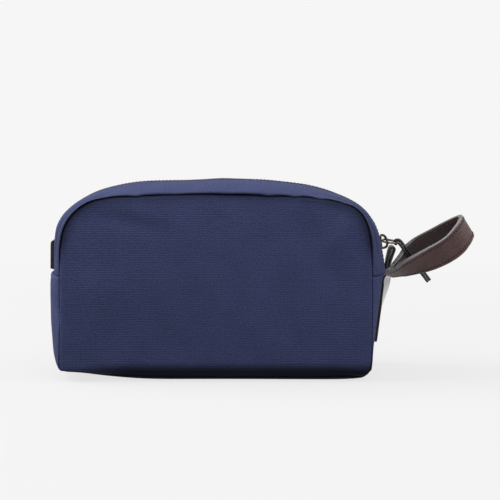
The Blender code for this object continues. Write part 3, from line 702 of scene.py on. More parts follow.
def crest_arch():
    line = [flat(*p) for p in CREST_LEFT + CREST_TOP + CREST_RIGHT + CREST_FOOT]
    return resampled(catmull(line, 600), ARCH_COUNT)


def turn_of(p):
    return math.atan2(p.z - SEAM_Z, p.x)


def matched_arch(line, crest):
    """The points of a line that lie on the same rays as the crest's points, from over the bag's middle."""
    found = []
    k = 0
    for c in crest:
        a = turn_of(c)
        while k < len(line) - 2 and turn_of(line[k + 1]) > a:
            k += 1
        high, low = turn_of(line[k]), turn_of(line[k + 1])
        found.append(line[k].lerp(line[k + 1], min(1.0, max(0.0, (high - a) / max(high - low, 1e-6)))))
    return found


CREST_ARCH = crest_arch()
SEAM_ARCH = matched_arch(outline_arch(), CREST_ARCH)


def side_x(side, z):
    """The outline's x at height z on one side (-1 or 1)."""
    ring = [p for p in OUTLINE if p.x * side > 100 and p.z < 100]
    ring.sort(key=lambda p: p.z)
    for a, b in zip(ring, ring[1:]):
        if a.z <= z <= b.z:
            return a.lerp(b, (z - a.z) / max(b.z - a.z, 1e-6)).x
    return ring[0].x if z < ring[0].z else ring[-1].x


def low_z(x):
    """The height of the bottom seam at x."""
    ring = sorted((p for p in OUTLINE if p.z < 12), key=lambda p: p.x)
    for a, b in zip(ring, ring[1:]):
        if a.x <= x <= b.x:
            return a.lerp(b, (x - a.x) / max(b.x - a.x, 1e-6)).z
    return ring[0].z if x < ring[0].x else ring[-1].z


def share(y):
    """How far the gussets' curve has risen from the seams at depth y, from 0 to 1."""
    return max(0.0, 1 - (y / SEAM_Y) ** 2) ** 0.6


# Small puckers along the top seam: where, how wide, how deep (into the bag).
PUCKERS = (
    (-59.5, 4.0, 0.9), (-84, 6.0, 0.4), (-30, 7.0, 0.45), (8, 6.0, 0.35), (37.8, 4.5, 0.9),
    (57.3, 4.0, 1.1), (75.7, 4.0, 0.9), (94, 5.0, 0.35),
)


def pucker(x, z, away):
    """How far the cloth is drawn in, in mm, at a distance from the top seam."""
    if z < 118:
        return 0.0
    total = sum(deep * hump(x, at, wide) for at, wide, deep in PUCKERS)
    return total * math.exp(-away / 7.0)


# ---------------- cloth panels


def panel_face(x, z, side):
    """How far the panel's face stands out from the bag's middle."""
    across = max(0.0, 1 - (x / 117.0) ** 2) ** 0.55
    height = min(1.0, max(0.0, z / 141.0))
    belly = 3.1 * across * math.sin(math.pi * height**0.80) ** 0.8
    ease = min(1.0, 3 * across)
    slow = wave(x, 40 * side, z, 62.0, 1) * 1.7 + wave(x, 90 * side, z, 27.0, 2) * 0.6
    drag = 0.5 * hump(x + 0.9 * z, -70, 9) * hump(z, 18, 16)
    drag += 1.1 * hump(x - 0.55 * z, 30.25, 8) * hump(z, 104, 15)
    drag -= 1.5 * hump(z + 0.22 * x, 104.36, 6) * hump(x, -62, 24)
    drag -= 1.6 * hump(x + 0.5 * z, 122, 8) * hump(z, 92, 22)
    return HALF_DEPTH - 0.2 + belly + ease * (slow + drag)


def rolls_under(x, z):
    """Where the panel rolls under the bag: along the bottom, but not at its square left corner."""
    return smooth((20 - z) / 16.0) * smooth((x + 112) / 46.0) * (0.35 + 0.65 * smooth((116 - x) / 18.0))


def high_up(z):
    """From 0 down the sides, where the seams lie flat, to 1 along the top, where they are drawn in."""
    return smooth((z - 80) / 28.0)


def painted_seam_shade(away, z, x=0.0):
    """Painted shade on the canvas, from 0 to 1: beside a seam, strongest along the top, where it rolls under
    the bag, and a little more lower down.
    """
    high = high_up(z)
    beside = (0.03 + 0.87 * high) * math.exp(-((max(0.0, away) / (0.9 + 0.8 * high)) ** 1.3))
    # Painted shade where the canvas rolls under the bag; the last term darkens it a little towards the bottom.
    under = 0.98 * (1 - smooth((z - 6.5) / 11.0)) * (0.2 + 0.8 * smooth((x + 110) / 46.0))
    return max(beside, under, 0.10 * (1 - smooth(z / 100)))


def panel_roll(p, away):
    """How far the panel's face turns in towards its seam, at a distance from the outline's point p."""
    low = rolls_under(p.x, p.z)
    drawn = max(low, high_up(p.z))
    radius = 2.7 + 8.0 * low + 1.8 * (1 - drawn)
    turn = radius - math.sqrt(radius**2 - max(0.0, radius - away) ** 2)
    return (0.3 + 0.7 * drawn) * turn


def panel_grid(side):
    """The panel's rings from its rim inward, and the painted shade at each point."""
    centre = flat(*PANEL_CENTRE)
    grid, shade = [], []
    for level in PANEL_RINGS:
        row = []
        for k, p in enumerate(OUTLINE):
            ahead = (OUTLINE[(k + 1) % len(OUTLINE)] - OUTLINE[k - 1]).normalized()
            away = level * max(20.0, Vector((-ahead.z, 0, ahead.x)).dot(centre - p))
            q = p.lerp(centre, level)
            y = panel_face(q.x, q.z, side) - panel_roll(p, away) - pucker(q.x, q.z, away)
            row.append(Vector((q.x, side * y, q.z)))
        grid.append(row)
        # Painted shade beside the seams and where the panel rolls under the bag.
        shade.append([painted_seam_shade(level * 45.0, p.z, p.x) for p in row])
    rim = [Vector((p.x, p.y - side * PANEL_RIM, p.z)) for p in grid[0]]
    return [rim] + grid, [shade[0]] + shade


def closed_panel(name, side, thickness, looks):
    """A panel that is thick and closed, its rings running round its outline."""
    grid, shade = panel_grid(side)
    columns = len(OUTLINE)
    x, z = PANEL_CENTRE
    middle = Vector((x, side * panel_face(x, z, side), z))
    outer = [p for row in grid for p in row] + [middle]
    inner = []
    for row, ns in zip(grid, grid_normals(grid, wrap=True)):
        depth = (0.4 if row is grid[0] else 1.0) * thickness
        inner += [p + side * depth * n for p, n in zip(row, ns)]
    inner.append(middle - side * thickness * Vector((0, 1, 0)))
    count = len(outer)
    last = (len(grid) - 1) * columns
    faces = quads(len(grid), columns, wrap=True)
    faces += [(last + c, last + (c + 1) % columns, count - 1) for c in range(columns)]
    back = [tuple(k + count for k in f)[::-1] for f in faces]
    rim = [((c + 1) % columns, c, c + count, (c + 1) % columns + count) for c in range(columns)]
    # The canvas turns in round the rim and over the lining's first four rows.
    turned = 4 * columns
    slots = [0] * (len(faces) + turned) + [1] * (len(back) - turned) + [0] * len(rim)
    uv = [(p.x, p.z) for p in outer]
    # The painted shade, stored as the seam attribute.
    dark = [d for row in shade for d in row] + [0.0]
    return piece(name, outer + inner, faces + back + rim, looks, 2 * uv, slots, 2 * dark)


def arch_frames():
    """For each place along the arch: the seam's point, the crest's point, and outward."""
    found = []
    for k, (s, c) in enumerate(zip(SEAM_ARCH, CREST_ARCH)):
        along = SEAM_ARCH[min(k + 1, ARCH_COUNT)] - SEAM_ARCH[max(k - 1, 0)]
        along += CREST_ARCH[min(k + 1, ARCH_COUNT)] - CREST_ARCH[max(k - 1, 0)]
        along.normalize()
        found.append((s, c, Vector((-along.z, 0, along.x))))
    return found


ARCH = arch_frames()
ARCH_LENGTH = lengths(CREST_ARCH)


def edge_rise(y):
    """The gussets stand a little proud of the panels beside the seams, which leaves a groove."""
    return 0.45 * math.exp(-(SEAM_Y - abs(y)) / 1.3)


def gusset_point(k, y, lift=0.0):
    """A point of the zip gusset's outer face at column k and depth y."""
    seam, crest, out = ARCH[k]
    q = seam.lerp(crest, share(y))
    ripple = wave(q.x, 1.3 * y, q.z, 30.0, 3) * 0.9 + wave(q.x, y, q.z, 13.0, 4) * 0.34
    ripple *= min(1.0, 1.6 * share(y)) * smooth((abs(y) - 6) / 14.0)
    drawn = 0.9 * pucker(q.x, q.z, SEAM_Y - abs(y)) + 1.9 * corner_crease(seam, y)
    flat_down = 0.35 + 0.65 * high_up(q.z)
    level = q + (ripple + lift - drawn + flat_down * edge_rise(y)) * out
    return Vector((level.x, y, level.z))


def corner_crease(seam, y):
    """A crease that runs round both upper corners beside the seam, from 0 to 1."""
    along = smooth((abs(seam.x) - 62) / 34.0) * smooth((seam.z - 86) / 16.0)
    return along * hump(abs(y), 39.5, 2.7)


def gusset_facing(y, out):
    """Which way a gusset's cloth faces: outward along its middle, and to the front or back at its seams."""
    turn = smooth((abs(y) - 36.0) / 15.0) ** 1.5
    return ((1 - turn) * out + turn * Vector((0, math.copysign(1, y), 0))).normalized()


def gusset_rows():
    """Depths from the seam to the folded edge beside the zip, with how far each is lifted."""
    rows = [(FOLD_ROW + (EDGE_ROW - FOLD_ROW) * (1 - t**1.7), 0.0) for t in steps(0.0, 1.0, 24)]
    return rows + [(6.55, -0.12), (6.35, -0.45), (6.32, -0.9)]


def zip_gusset(name, side):
    """One of the two strips of canvas beside the zip, from foot to foot over the bag."""
    grid, uv, facing, shade = [], [], [], []
    for depth, lift in TURNED_IN:
        row = []
        for seam, _, out in ARCH:
            p = seam + ((0.4 + 0.6 * high_up(seam.z)) * lift - 0.9 * pucker(seam.x, seam.z, 0)) * out
            row.append(Vector((p.x, side * depth, p.z)))
        grid.append(row)
        uv.append([(2 * EDGE_ROW - depth, s) for s in ARCH_LENGTH])
        facing.append([-out for _, _, out in ARCH])
        # Painted shade in the turned-in edges, deeper along the top.
        shade.append([0.2 + 0.65 * high_up(p.z) for p in row])
    edge = Vector((0, -side, 0))  # the folded edge beside the zip faces the zip
    for depth, lift in gusset_rows():
        y = side * depth
        row = [gusset_point(k, y, lift) for k in range(ARCH_COUNT + 1)]
        fold = 0.5 * smooth((FOLD_ROW - depth) / 0.5)
        ways, tones = [], []
        for p, (seam, _, out) in zip(row, ARCH):
            ways.append(((1 - fold) * gusset_facing(y, out) + fold * edge).normalized())
            # Painted shade over the whole gusset, deeper beside the seam and in the corner creases.
            tones.append(max(0.13, painted_seam_shade(0.9 * (EDGE_ROW - depth), p.z), 0.6 * corner_crease(seam, y)))
        grid.append(row)
        uv.append([(depth, s) for s in ARCH_LENGTH])
        facing.append(ways)
        shade.append(tones)
    # One more column at each foot, turned in at the level seam.
    for rows in (grid, uv, facing, shade):
        for row in rows:
            row.insert(0, row[0])
            row.append(row[-1])
    for row in grid:
        row[0] = row[0] + Vector((1.1, 0, -0.15))
        row[-1] = row[-1] + Vector((-1.1, 0, -0.15))
    turned = lambda r, c: (r if side < 0 else len(grid) - 1 - r) < len(TURNED_IN)
    grid, uv, facing, shade = [rows[::-side] for rows in (grid, uv, facing, shade)]
    return cloth(name, grid, uv, CLOTH, [CANVAS, LINING], turned, shade, facing)


def left_bulge(z):
    """How far the left gusset stands out from its seams along its middle, at height z."""
    spread = 60.0 if z < 66 else 30.0
    return 11.6 - 4.3 * ((z - 66) / spread) ** 2 - 3.6 * smooth((20 - z) / 14.0)


def right_bulge(z):
    return 1.9 + 0.090 * z + 0.00035 * z * z + 2.0 * math.exp(-(SEAM_Z - z) / 5.0)


def side_point(side, y, z, lift=0.0):
    """A point of a side gusset's outer face."""
    bulge = left_bulge(z) if side < 0 else right_bulge(z)
    x = side_x(side, z)
    ripple = wave(3 * side, y, z, 34.0, 5) * 0.7 + wave(5 * side, y, z, 14.0, 6) * 0.25
    ripple *= smooth(share(y) * 1.4) * smooth((z - 6) / 12)
    fold = 0.0
    if side < 0:
        fold = 1.3 * hump(z - 0.55 * y, 76.2, 6.0) * hump(y, -40, 13)
    elif abs(y) < 16:
        ripple *= 0.3
        bulge += smooth((16 - abs(y)) / 6.0) * hump(z, 56, 14)  # pressed out under the strap
    out = bulge * max(0.0, share(y) - 0.03) + ripple - fold + lift + 0.3 * edge_rise(y)
    return Vector((x + side * out, y, z))


def side_gusset(name, side):
    half = [EDGE_ROW * (1 - t**1.7) for t in steps(0, 1, 22)]
    edge = [depth for depth, _ in TURNED_IN]
    ys = [-d for d in edge + half] + half[-2::-1] + edge[::-1]
    low = 9.0 if side < 0 else 8.2
    zs = [low] + steps(low + 0.8, SEAM_Z - 1.0, 44) + [SEAM_Z - 0.35]
    inside = lambda m: len(edge) <= m < len(ys) - len(edge)
    away = Vector((side, 0, 0))
    grid, uv, facing, shade = [], [], [], []
    for n, z in enumerate(zs):
        turned_in = -1.1 if n == len(zs) - 1 else (-0.5 if n == 0 else 0.0)
        row, tones = [], []
        for m, y in enumerate(ys):
            if inside(m):
                row.append(side_point(side, y, z, turned_in))
                # Painted shade beside the seams and where the canvas rolls under the bag.
                tones.append(painted_seam_shade(3.5 * (EDGE_ROW - abs(y)), z, row[-1].x))
            else:
                out = 0.4 * TURNED_IN[min(m, len(ys) - 1 - m)][1]
                row.append(Vector((side_x(side, z) + side * (out + turned_in), y, z)))
                # A fixed painted shade in the turned-in edges.
                tones.append(0.2)
        grid.append(row[::side])
        uv.append([(y, z) for y in ys[::side]])
        facing.append([gusset_facing(y, away) if inside(m) else -away for m, y in enumerate(ys)][::side])
        shade.append(tones[::side])
    return cloth(name, grid, uv, CLOTH, [CANVAS, LINING], lambda r, c: not inside(c), shade, facing)


BASE_ENDS = {-1: 8.8, 1: 7.9}  # the heights where the bottom meets the side gussets


def base_sheet(name):
    """The canvas bottom, lifted a little at both ends and turned up to its seams."""
    grid = []
    lengthways = [-1.0] + [-math.cos(a) for a in steps(0, math.pi, 40)][1:-1] + [1.0]
    for v in [-math.cos(a) for a in steps(0, math.pi, 30)]:
        row = []
        for u in lengthways[::-1]:
            side = -1 if u < 0 else 1
            bulge = left_bulge(BASE_ENDS[-1]) if side < 0 else right_bulge(BASE_ENDS[1])
            x = u * (abs(side_x(side, BASE_ENDS[side])) + (bulge - 1.0) * share(v * SEAM_Y) - 0.6)
            edge = abs(v) ** 9
            end = smooth((abs(u) - 0.965) / 0.035)
            seam = low_z(max(-115.0, min(114.0, x)))
            z = (seam - 2.8) + 2.5 * edge + (BASE_ENDS[side] - seam + 2.6) * end * (1 - edge)
            row.append(Vector((x, v * (SEAM_Y - 4.4), max(z, 0.0))))
        grid.append(row)
    uv = [[(p.y, p.x) for p in row] for row in grid]
    # Deep painted shade all over the bottom, which lies in the bag's shadow.
    shade = [[0.9] * len(row) for row in grid]
    return cloth(name, grid, uv, CLOTH, [CANVAS, LINING], shade=shade)


def bottom_plate(name, half, corner, low, high, look):
    """A thin plate over the canvas bottom, that follows it where the bag's ends are lifted."""
    top = []
    for x in steps(-half[0], half[0], 48):
        over = max(0.0, abs(x) - (half[0] - corner))
        reach = half[1] - corner + math.sqrt(max(0.0, corner**2 - over**2))
        top.append([Vector((x, y, high + low_z(x) - low_z(0))) for y in steps(reach, -reach, 12)])
    uv = [[(p.x, p.y) for p in row] for row in top]
    upward = [[Vector((0, 0, 1))] * len(row) for row in top]
    return cloth(name, top, uv, high - low, [look, look], normals=upward)


def add_bottom_plates():
    board = bottom_plate("base_board_bowed", (106, 41), 8, 2.3, 3.8, BOARD)
    lining = bottom_plate("base_lining_sheet", (108, 43.5), 9, 4.1, 4.9, LINING)
    for made, node, slot in ((board, "base_board", "fibre_board"), (lining, "base_lining", "grey_lining")):
        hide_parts(node)
        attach(made, "bag")


def fold_with_mouth(*pieces):
    for each in pieces:
        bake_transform(each)


def add_shell():
    front = closed_panel("front_canvas", -1, CLOTH, [CANVAS, LINING])
    back = closed_panel("back_canvas", 1, CLOTH, [CANVAS, LINING])
    top_front = zip_gusset("zip_gusset_front_canvas", -1)
    top_back = zip_gusset("zip_gusset_back_canvas", 1)
    left = side_gusset("side_gusset_left_canvas", -1)
    right = side_gusset("side_gusset_right_canvas", 1)
    base = base_sheet("base_canvas")
    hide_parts("front_panel", "front_lining")
    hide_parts("zip_gusset_front", "zip_gusset_lining_front")
    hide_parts("back_panel", "back_lining")
    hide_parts("zip_gusset_back", "zip_gusset_lining_back")
    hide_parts("side_gusset_left", "side_lining_left")
    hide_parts("side_gusset_right", "side_lining_right")
    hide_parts("base_panel")
    fold_with_mouth(front, top_front, left, right)
    for each in (back, top_back, base):
        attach(each, "bag")


add_shell()
add_bottom_plates()


# ---------------- zip and stitching

ZIP_END_Z = 83.5


def zip_rail(y, lift, spacing):
    """Points along the crest between the zip's ends, and outward at each, spacing millimetres apart."""
    ks = [k for k in range(ARCH_COUNT + 1) if CREST_ARCH[k].z > ZIP_END_Z]
    line = [gusset_point(k, y, lift) for k in ks]
    even = resampled(line, int(lengths(line)[-1] / spacing))
    crest = resampled([CREST_ARCH[k] for k in ks], len(even) - 1)
    above = resampled([CREST_ARCH[k] + 100 * ARCH[k][2] for k in ks], len(even) - 1)
    return even, [(u - p).normalized() for u, p in zip(above, crest)]


# Across one side's tape, from under the gusset to beside the teeth: depth and lift.
TAPE_ROWS = ((10.6, -1.75), (7.5, -1.6), (5.0, -1.42), (3.4, -1.0), (2.0, -0.55), (1.3, -0.42))
TAPE_STEPS = 220


def zip_tape(name, side):
    grid, uv = [], []
    for depth, lift in TAPE_ROWS:
        line, _ = zip_rail(side * depth, lift, 1.5)
        grid.append(resampled(line, TAPE_STEPS))
        uv.append([(depth, 1.5 * k) for k in range(TAPE_STEPS + 1)])
    return cloth(name, grid[::-side], uv[::-side], 0.45, [TAPE, TAPE])


TOOTH_PITCH = 1.45
# Sections across a tooth and a stop, from front to back: depth, half width, lowest and highest.
TOOTH = (
    (-0.45, 0.20, -0.75, -0.10), (-0.30, 0.30, -0.95, 0.10), (0.55, 0.33, -1.05, 0.20),
    (2.25, 0.42, -1.35, 0.16), (2.75, 0.34, -1.35, -0.15),
)
STOP = ((-2.9, 0.8, -1.3, 0.1), (-2.5, 1.1, -1.5, 0.45), (2.5, 1.1, -1.5, 0.45), (2.9, 0.8, -1.3, 0.1))


def pressed(centre, ahead, up, sections, side):
    """The points and faces of a small metal block with four-sided sections across the bag."""
    points = []
    for depth, half, low, high in sections:
        for a, h in ((-half, low), (half, low), (half, high), (-half, high)):
            points.append(centre + a * ahead + h * up + Vector((0, side * depth, 0)))
    faces = quads(len(sections), 4, wrap=True)
    return points, faces + [(3, 2, 1, 0), tuple(range(len(points) - 4, len(points)))]


def zip_teeth(name, side):
    """Pressed metal teeth, clamped one by one on the tape's edge. Each back one lies between two front ones."""
    line, ups = zip_rail(0, 0, TOOTH_PITCH)
    parts = []
    for a, b, up in zip(line, line[1:], ups):
        centre = a.lerp(b, 0.5 if side > 0 else 0.0)
        parts.append(pressed(centre, (b - a).normalized(), up, TOOTH, side))
    made = joined(name, parts, GUNMETAL)
    made.data.shade_flat()
    return made


def zip_stop(name, end):
    """A crimped metal block across both rows of teeth."""
    line, ups = zip_rail(0, 0, TOOTH_PITCH)
    last, before, up = (line[0], line[1], ups[0]) if end < 0 else (line[-1], line[-2], ups[-1])
    ahead = (last - before).normalized()
    made = joined(name, [pressed(last + 1.3 * ahead, ahead, up, STOP, 1)], GUNMETAL)
    made.data.shade_flat()
    return made


def zip_edge_stitches(name, side, depth):
    """The topstitching along the gusset's folded edge, at a depth from the zip's middle."""
    line, ups = zip_rail(side * depth, 0.02, 1.0)
    return joined(name, stitch_row(line, ups, 2.9, 2.2, 0.5, 0.42), NAVY_THREAD)


def level_seam_stitches(name, side):
    """The topstitching along the side gusset, just under the level seam."""
    z = SEAM_Z - 2.0
    line = [side_point(side, y, z, 0.04) for y in steps(-50.4, 50.4, 120)]
    ups = [Vector((side, math.copysign(0.25 * (p.y / 50) ** 4, p.y), 0)).normalized() for p in line]
    return joined(name, stitch_row(line, ups, 2.6, 2.0, 0.45, 0.40), NAVY_THREAD)


def add_zip():
    for name, side in (("front", -1), ("back", 1)):
        tape = zip_tape(f"zip_tape_{name}_woven", side)
        teeth = zip_teeth(f"zip_teeth_{name}_pressed", side)
        stitches = zip_edge_stitches(f"zip_edge_stitches_{name}", side, 8.7)
        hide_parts(f"zip_tape_{name}")
        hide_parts(f"zip_teeth_{name}")
        for each in (tape, teeth, stitches):
            if side < 0:
                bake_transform(each)
            else:
                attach(each, "bag")
    for name, side in (("left", -1), ("right", 1)):
        stop = zip_stop(f"zip_stop_{name}_crimped", side)
        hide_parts(f"zip_stop_{name}")
        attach(stop, "bag")
        stitches = level_seam_stitches(f"level_seam_stitches_{name}", side)
        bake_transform(stitches)


add_zip()


# ---------------- slider bridge and puller

SLIDER_ANGLE = math.radians(6.4)
PULLER_PIVOT = Vector((128.996, 0, 101.029))
PULLER_TILT = math.radians(-7.0)
PULLER_ROLL = math.radians(24.0)


BAR_SIDES = 12


def bar(name, line, across, thick, wide, look, closed=False):
    """A rounded bar along a line, wide in one direction given at each point and thick in the other."""
    count = len(line)
    points = []
    for k, p in enumerate(line):
        ahead = (line[(k + 1) % count] - line[k - 1]).normalized() if closed else ahead_of(line, k)
        side = (across - across.dot(ahead) * ahead).normalized()
        up = ahead.cross(side)
        for a in steps(0, 2 * math.pi, BAR_SIDES)[:-1]:
            over = 0.5 * wide * blunted(math.cos(a), 0.75)
            points.append(p + over * side + 0.5 * thick * blunted(math.sin(a), 0.75) * up)
    faces = quads(count, BAR_SIDES, wrap=True)
    last = len(points) - BAR_SIDES
    if closed:
        faces += [(last + j, last + (j + 1) % BAR_SIDES, (j + 1) % BAR_SIDES, j) for j in range(BAR_SIDES)]
    else:
        faces += [tuple(range(BAR_SIDES))[::-1], tuple(range(last, len(points)))]
    return piece(name, points, faces, [look])


# The slider runs on an arc that follows the zip's last stretch.
SLIDER_CENTRE = Vector((80.6, 0, 95.6))
SLIDER_RADIUS = 43.7
# The bridge over the slider: out from the slider's arc, and along it.
BRIDGE = (
    (1.0, -5.0), (2.2, -5.1), (4.2, -4.6), (5.4, -3.0), (5.55, -0.5), (5.1, 1.8), (4.3, 3.4), (3.2, 4.5),
    (1.0, 4.9),
)


def puller_ring(out, wide):
    """The middle of the puller's wire, a blunt oval a little narrower at its outer end."""
    ring = []
    for a in steps(0, 2 * math.pi, 48)[:-1]:
        ahead = 3.15 + 5.9 * blunted(math.cos(a), 0.55)
        half = 2.35 if math.cos(a) < 0 else 1.95
        ring.append(PULLER_PIVOT + ahead * out + half * blunted(math.sin(a), 0.6) * wide)
    return resampled(ring + [ring[0]], 64)[:-1]


def add_slider():
    radial = Vector((math.cos(SLIDER_ANGLE), 0, math.sin(SLIDER_ANGLE)))
    along = Vector((-radial.z, 0, radial.x))
    base = SLIDER_CENTRE + SLIDER_RADIUS * radial
    line = catmull([base + h * radial + s * along for h, s in BRIDGE], 40)
    bridge = bar("slider_bridge_arch", line, Vector((0, 1, 0)), 1.9, 2.6, GUNMETAL)
    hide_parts("slider_bridge")
    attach(bridge, "zip_slider")
    out = Vector((math.cos(PULLER_TILT), 0, math.sin(PULLER_TILT)))
    wide = Vector((0, math.cos(PULLER_ROLL), 0)) + math.sin(PULLER_ROLL) * Vector((-out.z, 0, out.x))
    puller = bar("puller_ring", puller_ring(out, wide), wide.cross(out), 1.4, 1.5, BRIGHT, closed=True)
    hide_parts("puller_bar")
    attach(puller, "zip_puller")


add_slider()


# ---------------- wrist loop

LOOP_BASE = Vector((128.7, 0, 75.3))
LOOP_RISE = math.radians(32.4)
STRAP_HALF_THICK = 1.62
# Along the loop from the outer strap's base: distance, offset in y, offset square to the loop,
# roll in degrees, and share of the full thickness.
LOOP_STATIONS = (
    (1.9, -0.2, -1.6, 20, 0.60), (6.0, -0.9, -2.6, 24, 0.80), (10, -1.6, -3.4, 30, 0.95),
    (14.3, -2.5, -4.3, 39, 1), (21.9, -5.2, -5.4, 51, 1), (29.4, -7.8, -6.5, 63, 1),
    (37.8, -10.3, -7.4, 73, 1), (46.9, -12.4, -7.9, 78, 1), (55.6, -13.4, -7.3, 80, 1),
    (62.4, -12.6, -5.3, 80, 1), (68.4, -8.8, -3.2, 80, 1), (72.0, 0, -1.5, 80, 1), (68.4, 9.0, -1.2, 80, 1),
    (60.4, 13.3, -0.6, 79, 1), (47.8, 13.0, 0.4, 76, 1), (33.3, 9.6, 2.0, 71, 1), (23.6, 6.8, 2.8, 52, 1),
    (15, 3.8, 2.6, 27, 1), (9, 1.7, 1.9, 17, 0.9), (5, 0.7, 0.9, 14, 0.75), (0.9, 0.2, 1.0, 14, 0.55),
)
# Down the sewn ends: x, z, roll in degrees. The ends are pared thin and lie one on the other.
ANCHOR = (
    (129.1, 72.0, 21), (128.5, 67.0, 19), (127.0, 60, 14.5), (125.2, 52, 8), (123.6, 44, 4), (122.3, 36, 2),
    (120.5, 24, 0),
)
PARED = 0.37  # the sewn ends' share of the full thickness
STRAP_STEPS = 330
# A layer's section from its glued face out to its grain face: across, height, and whether it is painted.
LAYER_SECTION = (
    (9.5, 0.02, 1), (9.5, 0.80, 1), (9.42, 1.18, 1), (9.22, 1.46, 1), (8.85, 1.60, 1), (8.2, 1.62, 0),
    (5.2, 1.62, 0), (2.6, 1.62, 0), (0, 1.62, 0),
)


def strap_frames():
    """Centre, width direction, outward direction and thickness share, from one sewn end to the other."""
    out = Vector((math.cos(LOOP_RISE), 0, math.sin(LOOP_RISE)))
    square = Vector((-out.z, 0, out.x))
    centres, widths, shares = [], [], []

    def anchor(stations, side):
        for x, z, roll in stations:
            a = math.radians(roll)
            centres.append(Vector((x, 0, z)) + side * 0.62 * Vector((math.cos(a), -math.sin(a), 0)))
            widths.append(Vector((-math.sin(a), -math.cos(a), 0)))
            shares.append(Vector((PARED, 0, 0)))

    anchor(ANCHOR[::-1], 1)
    for s, y, h, roll, part in LOOP_STATIONS:
        a = math.radians(roll)
        centres.append(LOOP_BASE + s * out + Vector((0, y, 0)) + h * square)
        widths.append(Vector((0, -math.cos(a), 0)) + math.sin(a) * square)
        shares.append(Vector((part, 0, 0)))
    anchor(ANCHOR, -1)
    line = catmull(centres, STRAP_STEPS)
    frames = []
    for k, (p, w, t) in enumerate(zip(line, catmull(widths, STRAP_STEPS), catmull(shares, STRAP_STEPS))):
        along = ahead_of(line, k)
        width = (w - w.dot(along) * along).normalized()
        frames.append((p, width, along.cross(width), t.x))
    return frames


STRAP = strap_frames()
STRAP_LENGTHS = lengths([f[0] for f in STRAP])


def end_taper(s):
    """The strap's ends are cut with rounded corners."""
    left = min(s, STRAP_LENGTHS[-1] - s)
    return 1 - 0.22 * max(0.0, 1 - left / 3.0) ** 2


def strap_layer(name, side, face_look, edge_look):
    """One of the strap's two leathers, from its glued face to its grain face. The sewn ends are glossy."""
    section = [(w, side * h, painted_part) for w, h, painted_part in LAYER_SECTION]
    section += [(-w, side * h, painted_part) for w, h, painted_part in LAYER_SECTION[-2::-1]]
    points = []
    for (centre, width, outward, part), s in zip(STRAP, STRAP_LENGTHS):
        fit = end_taper(s)
        points += [centre + fit * w * width + part * h * outward for w, h, _ in section]
    count = len(section)
    faces = quads(len(STRAP), count, wrap=True)
    slots = []
    for row in range(len(STRAP) - 1):
        sewn = 2 if STRAP[row][3] < 0.5 else 0
        for c in range(count):
            (wide, _, first), (_, _, second) = section[c], section[(c + 1) % count]
            slots.append(sewn + (1 if first and second and abs(wide) > 8.8 else 0))
    faces += [tuple(range(count))[::-1], tuple(range(len(points) - count, len(points)))]
    slots += [3, 3]
    return piece(name, points, faces, [face_look, edge_look, GLOSSY_BLACK, EDGE_BLACK], None, slots)


def strap_stitches(name, side, look):
    parts = []
    for across in (6.9, -6.9):
        line = [c + across * w + side * (t * STRAP_HALF_THICK + 0.04) * o for c, w, o, t in STRAP if t > 0.5]
        ups = [side * o for _, _, o, t in STRAP if t > 0.5]
        parts += stitch_row(line, ups, 2.4, 1.7, 1.0, 0.55)
    # Two rows across the sewn ends, near their tips and where they leave the bag.
    for away in (3.2, 11.0) if side > 0 else ():
        k = next(n for n, s in enumerate(STRAP_LENGTHS) if s > away)
        c, w, o, t = STRAP[k]
        line = [c + across * w + (t * STRAP_HALF_THICK + 0.02) * o for across in steps(-6.9, 6.9, 12)]
        parts += stitch_row(line, [o] * len(line), 2.3, 1.6, 0.8, 0.45)
    return joined(name, parts, look)


def add_wrist_loop():
    outer = strap_layer("wrist_strap_outer_leather", 1, BROWN, EDGE_GREY)
    inner = strap_layer("wrist_strap_inner_leather", -1, DARK_BROWN, EDGE_GREY)
    outer_stitches = strap_stitches("wrist_strap_outer_stitches", 1, DARK_THREAD)
    inner_stitches = strap_stitches("wrist_strap_inner_stitches", -1, RUST_THREAD)
    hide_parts("loop_outer_leather", "strap_end_outer")
    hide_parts("loop_inner_leather", "strap_end_inner")
    slots = ((outer, "brown_leather"), (inner, "dark_leather"), (outer_stitches, "dark_leather"),
             (inner_stitches, "dark_leather"))
    for each, slot_name in slots:
        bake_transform(each)


add_wrist_loop()


# ---------------- zip end tabs

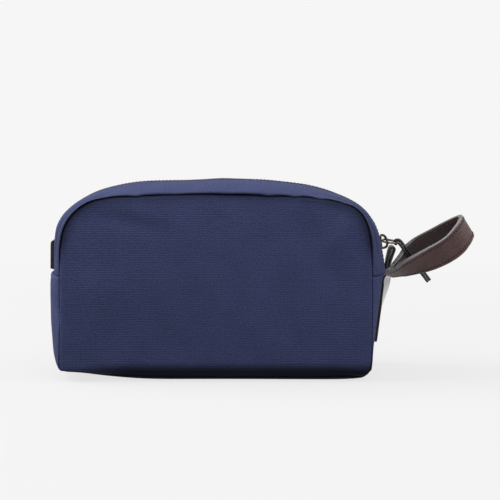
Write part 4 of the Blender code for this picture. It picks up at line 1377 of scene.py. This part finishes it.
# Round the folded strips, seen from the front: x and z.
TAB_RIGHT = (
    (128.7, 79.6), (129.4, 85.3), (130.5, 91.0), (131.5, 94.9), (132.6, 96.5), (134.3, 96.5), (135.0, 94.8),
    (133.6, 90.6), (131.8, 85.3), (130.2, 80.2),
)
TAB_LEFT = (
    (-127.2, 80.4), (-127.1, 86), (-127.0, 92), (-126.9, 98.4), (-126.6, 100.5), (-126.0, 101.0),
    (-125.5, 99.6), (-125.6, 93), (-125.6, 86), (-125.5, 80.0),
)


def folded_tab(name, outline, looks):
    """A strip of leather folded over the zip's end."""
    line = catmull([flat(x, z) for x, z in outline], 70)
    centre = sum(line, Vector()) / len(line)
    section = [(y, -0.95) for y in steps(-7.2, 7.2, 4)] + [(7.7, -0.80), (7.95, -0.42), (8.0, 0.0)]
    section += [(7.95, 0.42), (7.7, 0.66)] + [(y, 0.75) for y in steps(7.2, -7.2, 4)]
    section += [(-7.7, 0.66), (-7.95, 0.42), (-8.0, 0.0), (-7.95, -0.42), (-7.7, -0.80)]
    points = []
    for k, p in enumerate(line):
        along = ahead_of(line, k)
        normal = Vector((-along.z, 0, along.x))
        normal = normal if normal.dot(p - centre) > 0 else -normal
        points += [p + Vector((0, y, 0)) + h * normal for y, h in section]
    count = len(section)
    faces = quads(len(line), count, wrap=True)
    edge = set(range(4, 10)) | set(range(14, 20))
    slots = [1 if c in edge else 0 for _ in range(len(line) - 1) for c in range(count)]
    faces += [tuple(range(count))[::-1], tuple(range(len(points) - count, len(points)))]
    return piece(name, points, faces, looks, None, slots + [1, 1])


def add_tabs():
    for end, outline, look in (("left", TAB_LEFT, BLACK), ("right", TAB_RIGHT, TAB)):
        tab = folded_tab(f"zip_tab_{end}_leather", outline, [look, EDGE_BLACK])
        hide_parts(f"zip_tab_{end}")
        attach(tab, "bag")


add_tabs()


# ---------------- the CAD piece that stays


def dress_slider():
    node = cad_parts["slider_body"]
    for each in node.material_slots:
        each.material = GUNMETAL
    edge = node.modifiers.new("Rounded edges", "BEVEL")
    edge.width = 0.18 * MM
    edge.segments = 3
    edge.limit_method = "ANGLE"
    edge.angle_limit = math.radians(32)


dress_slider()
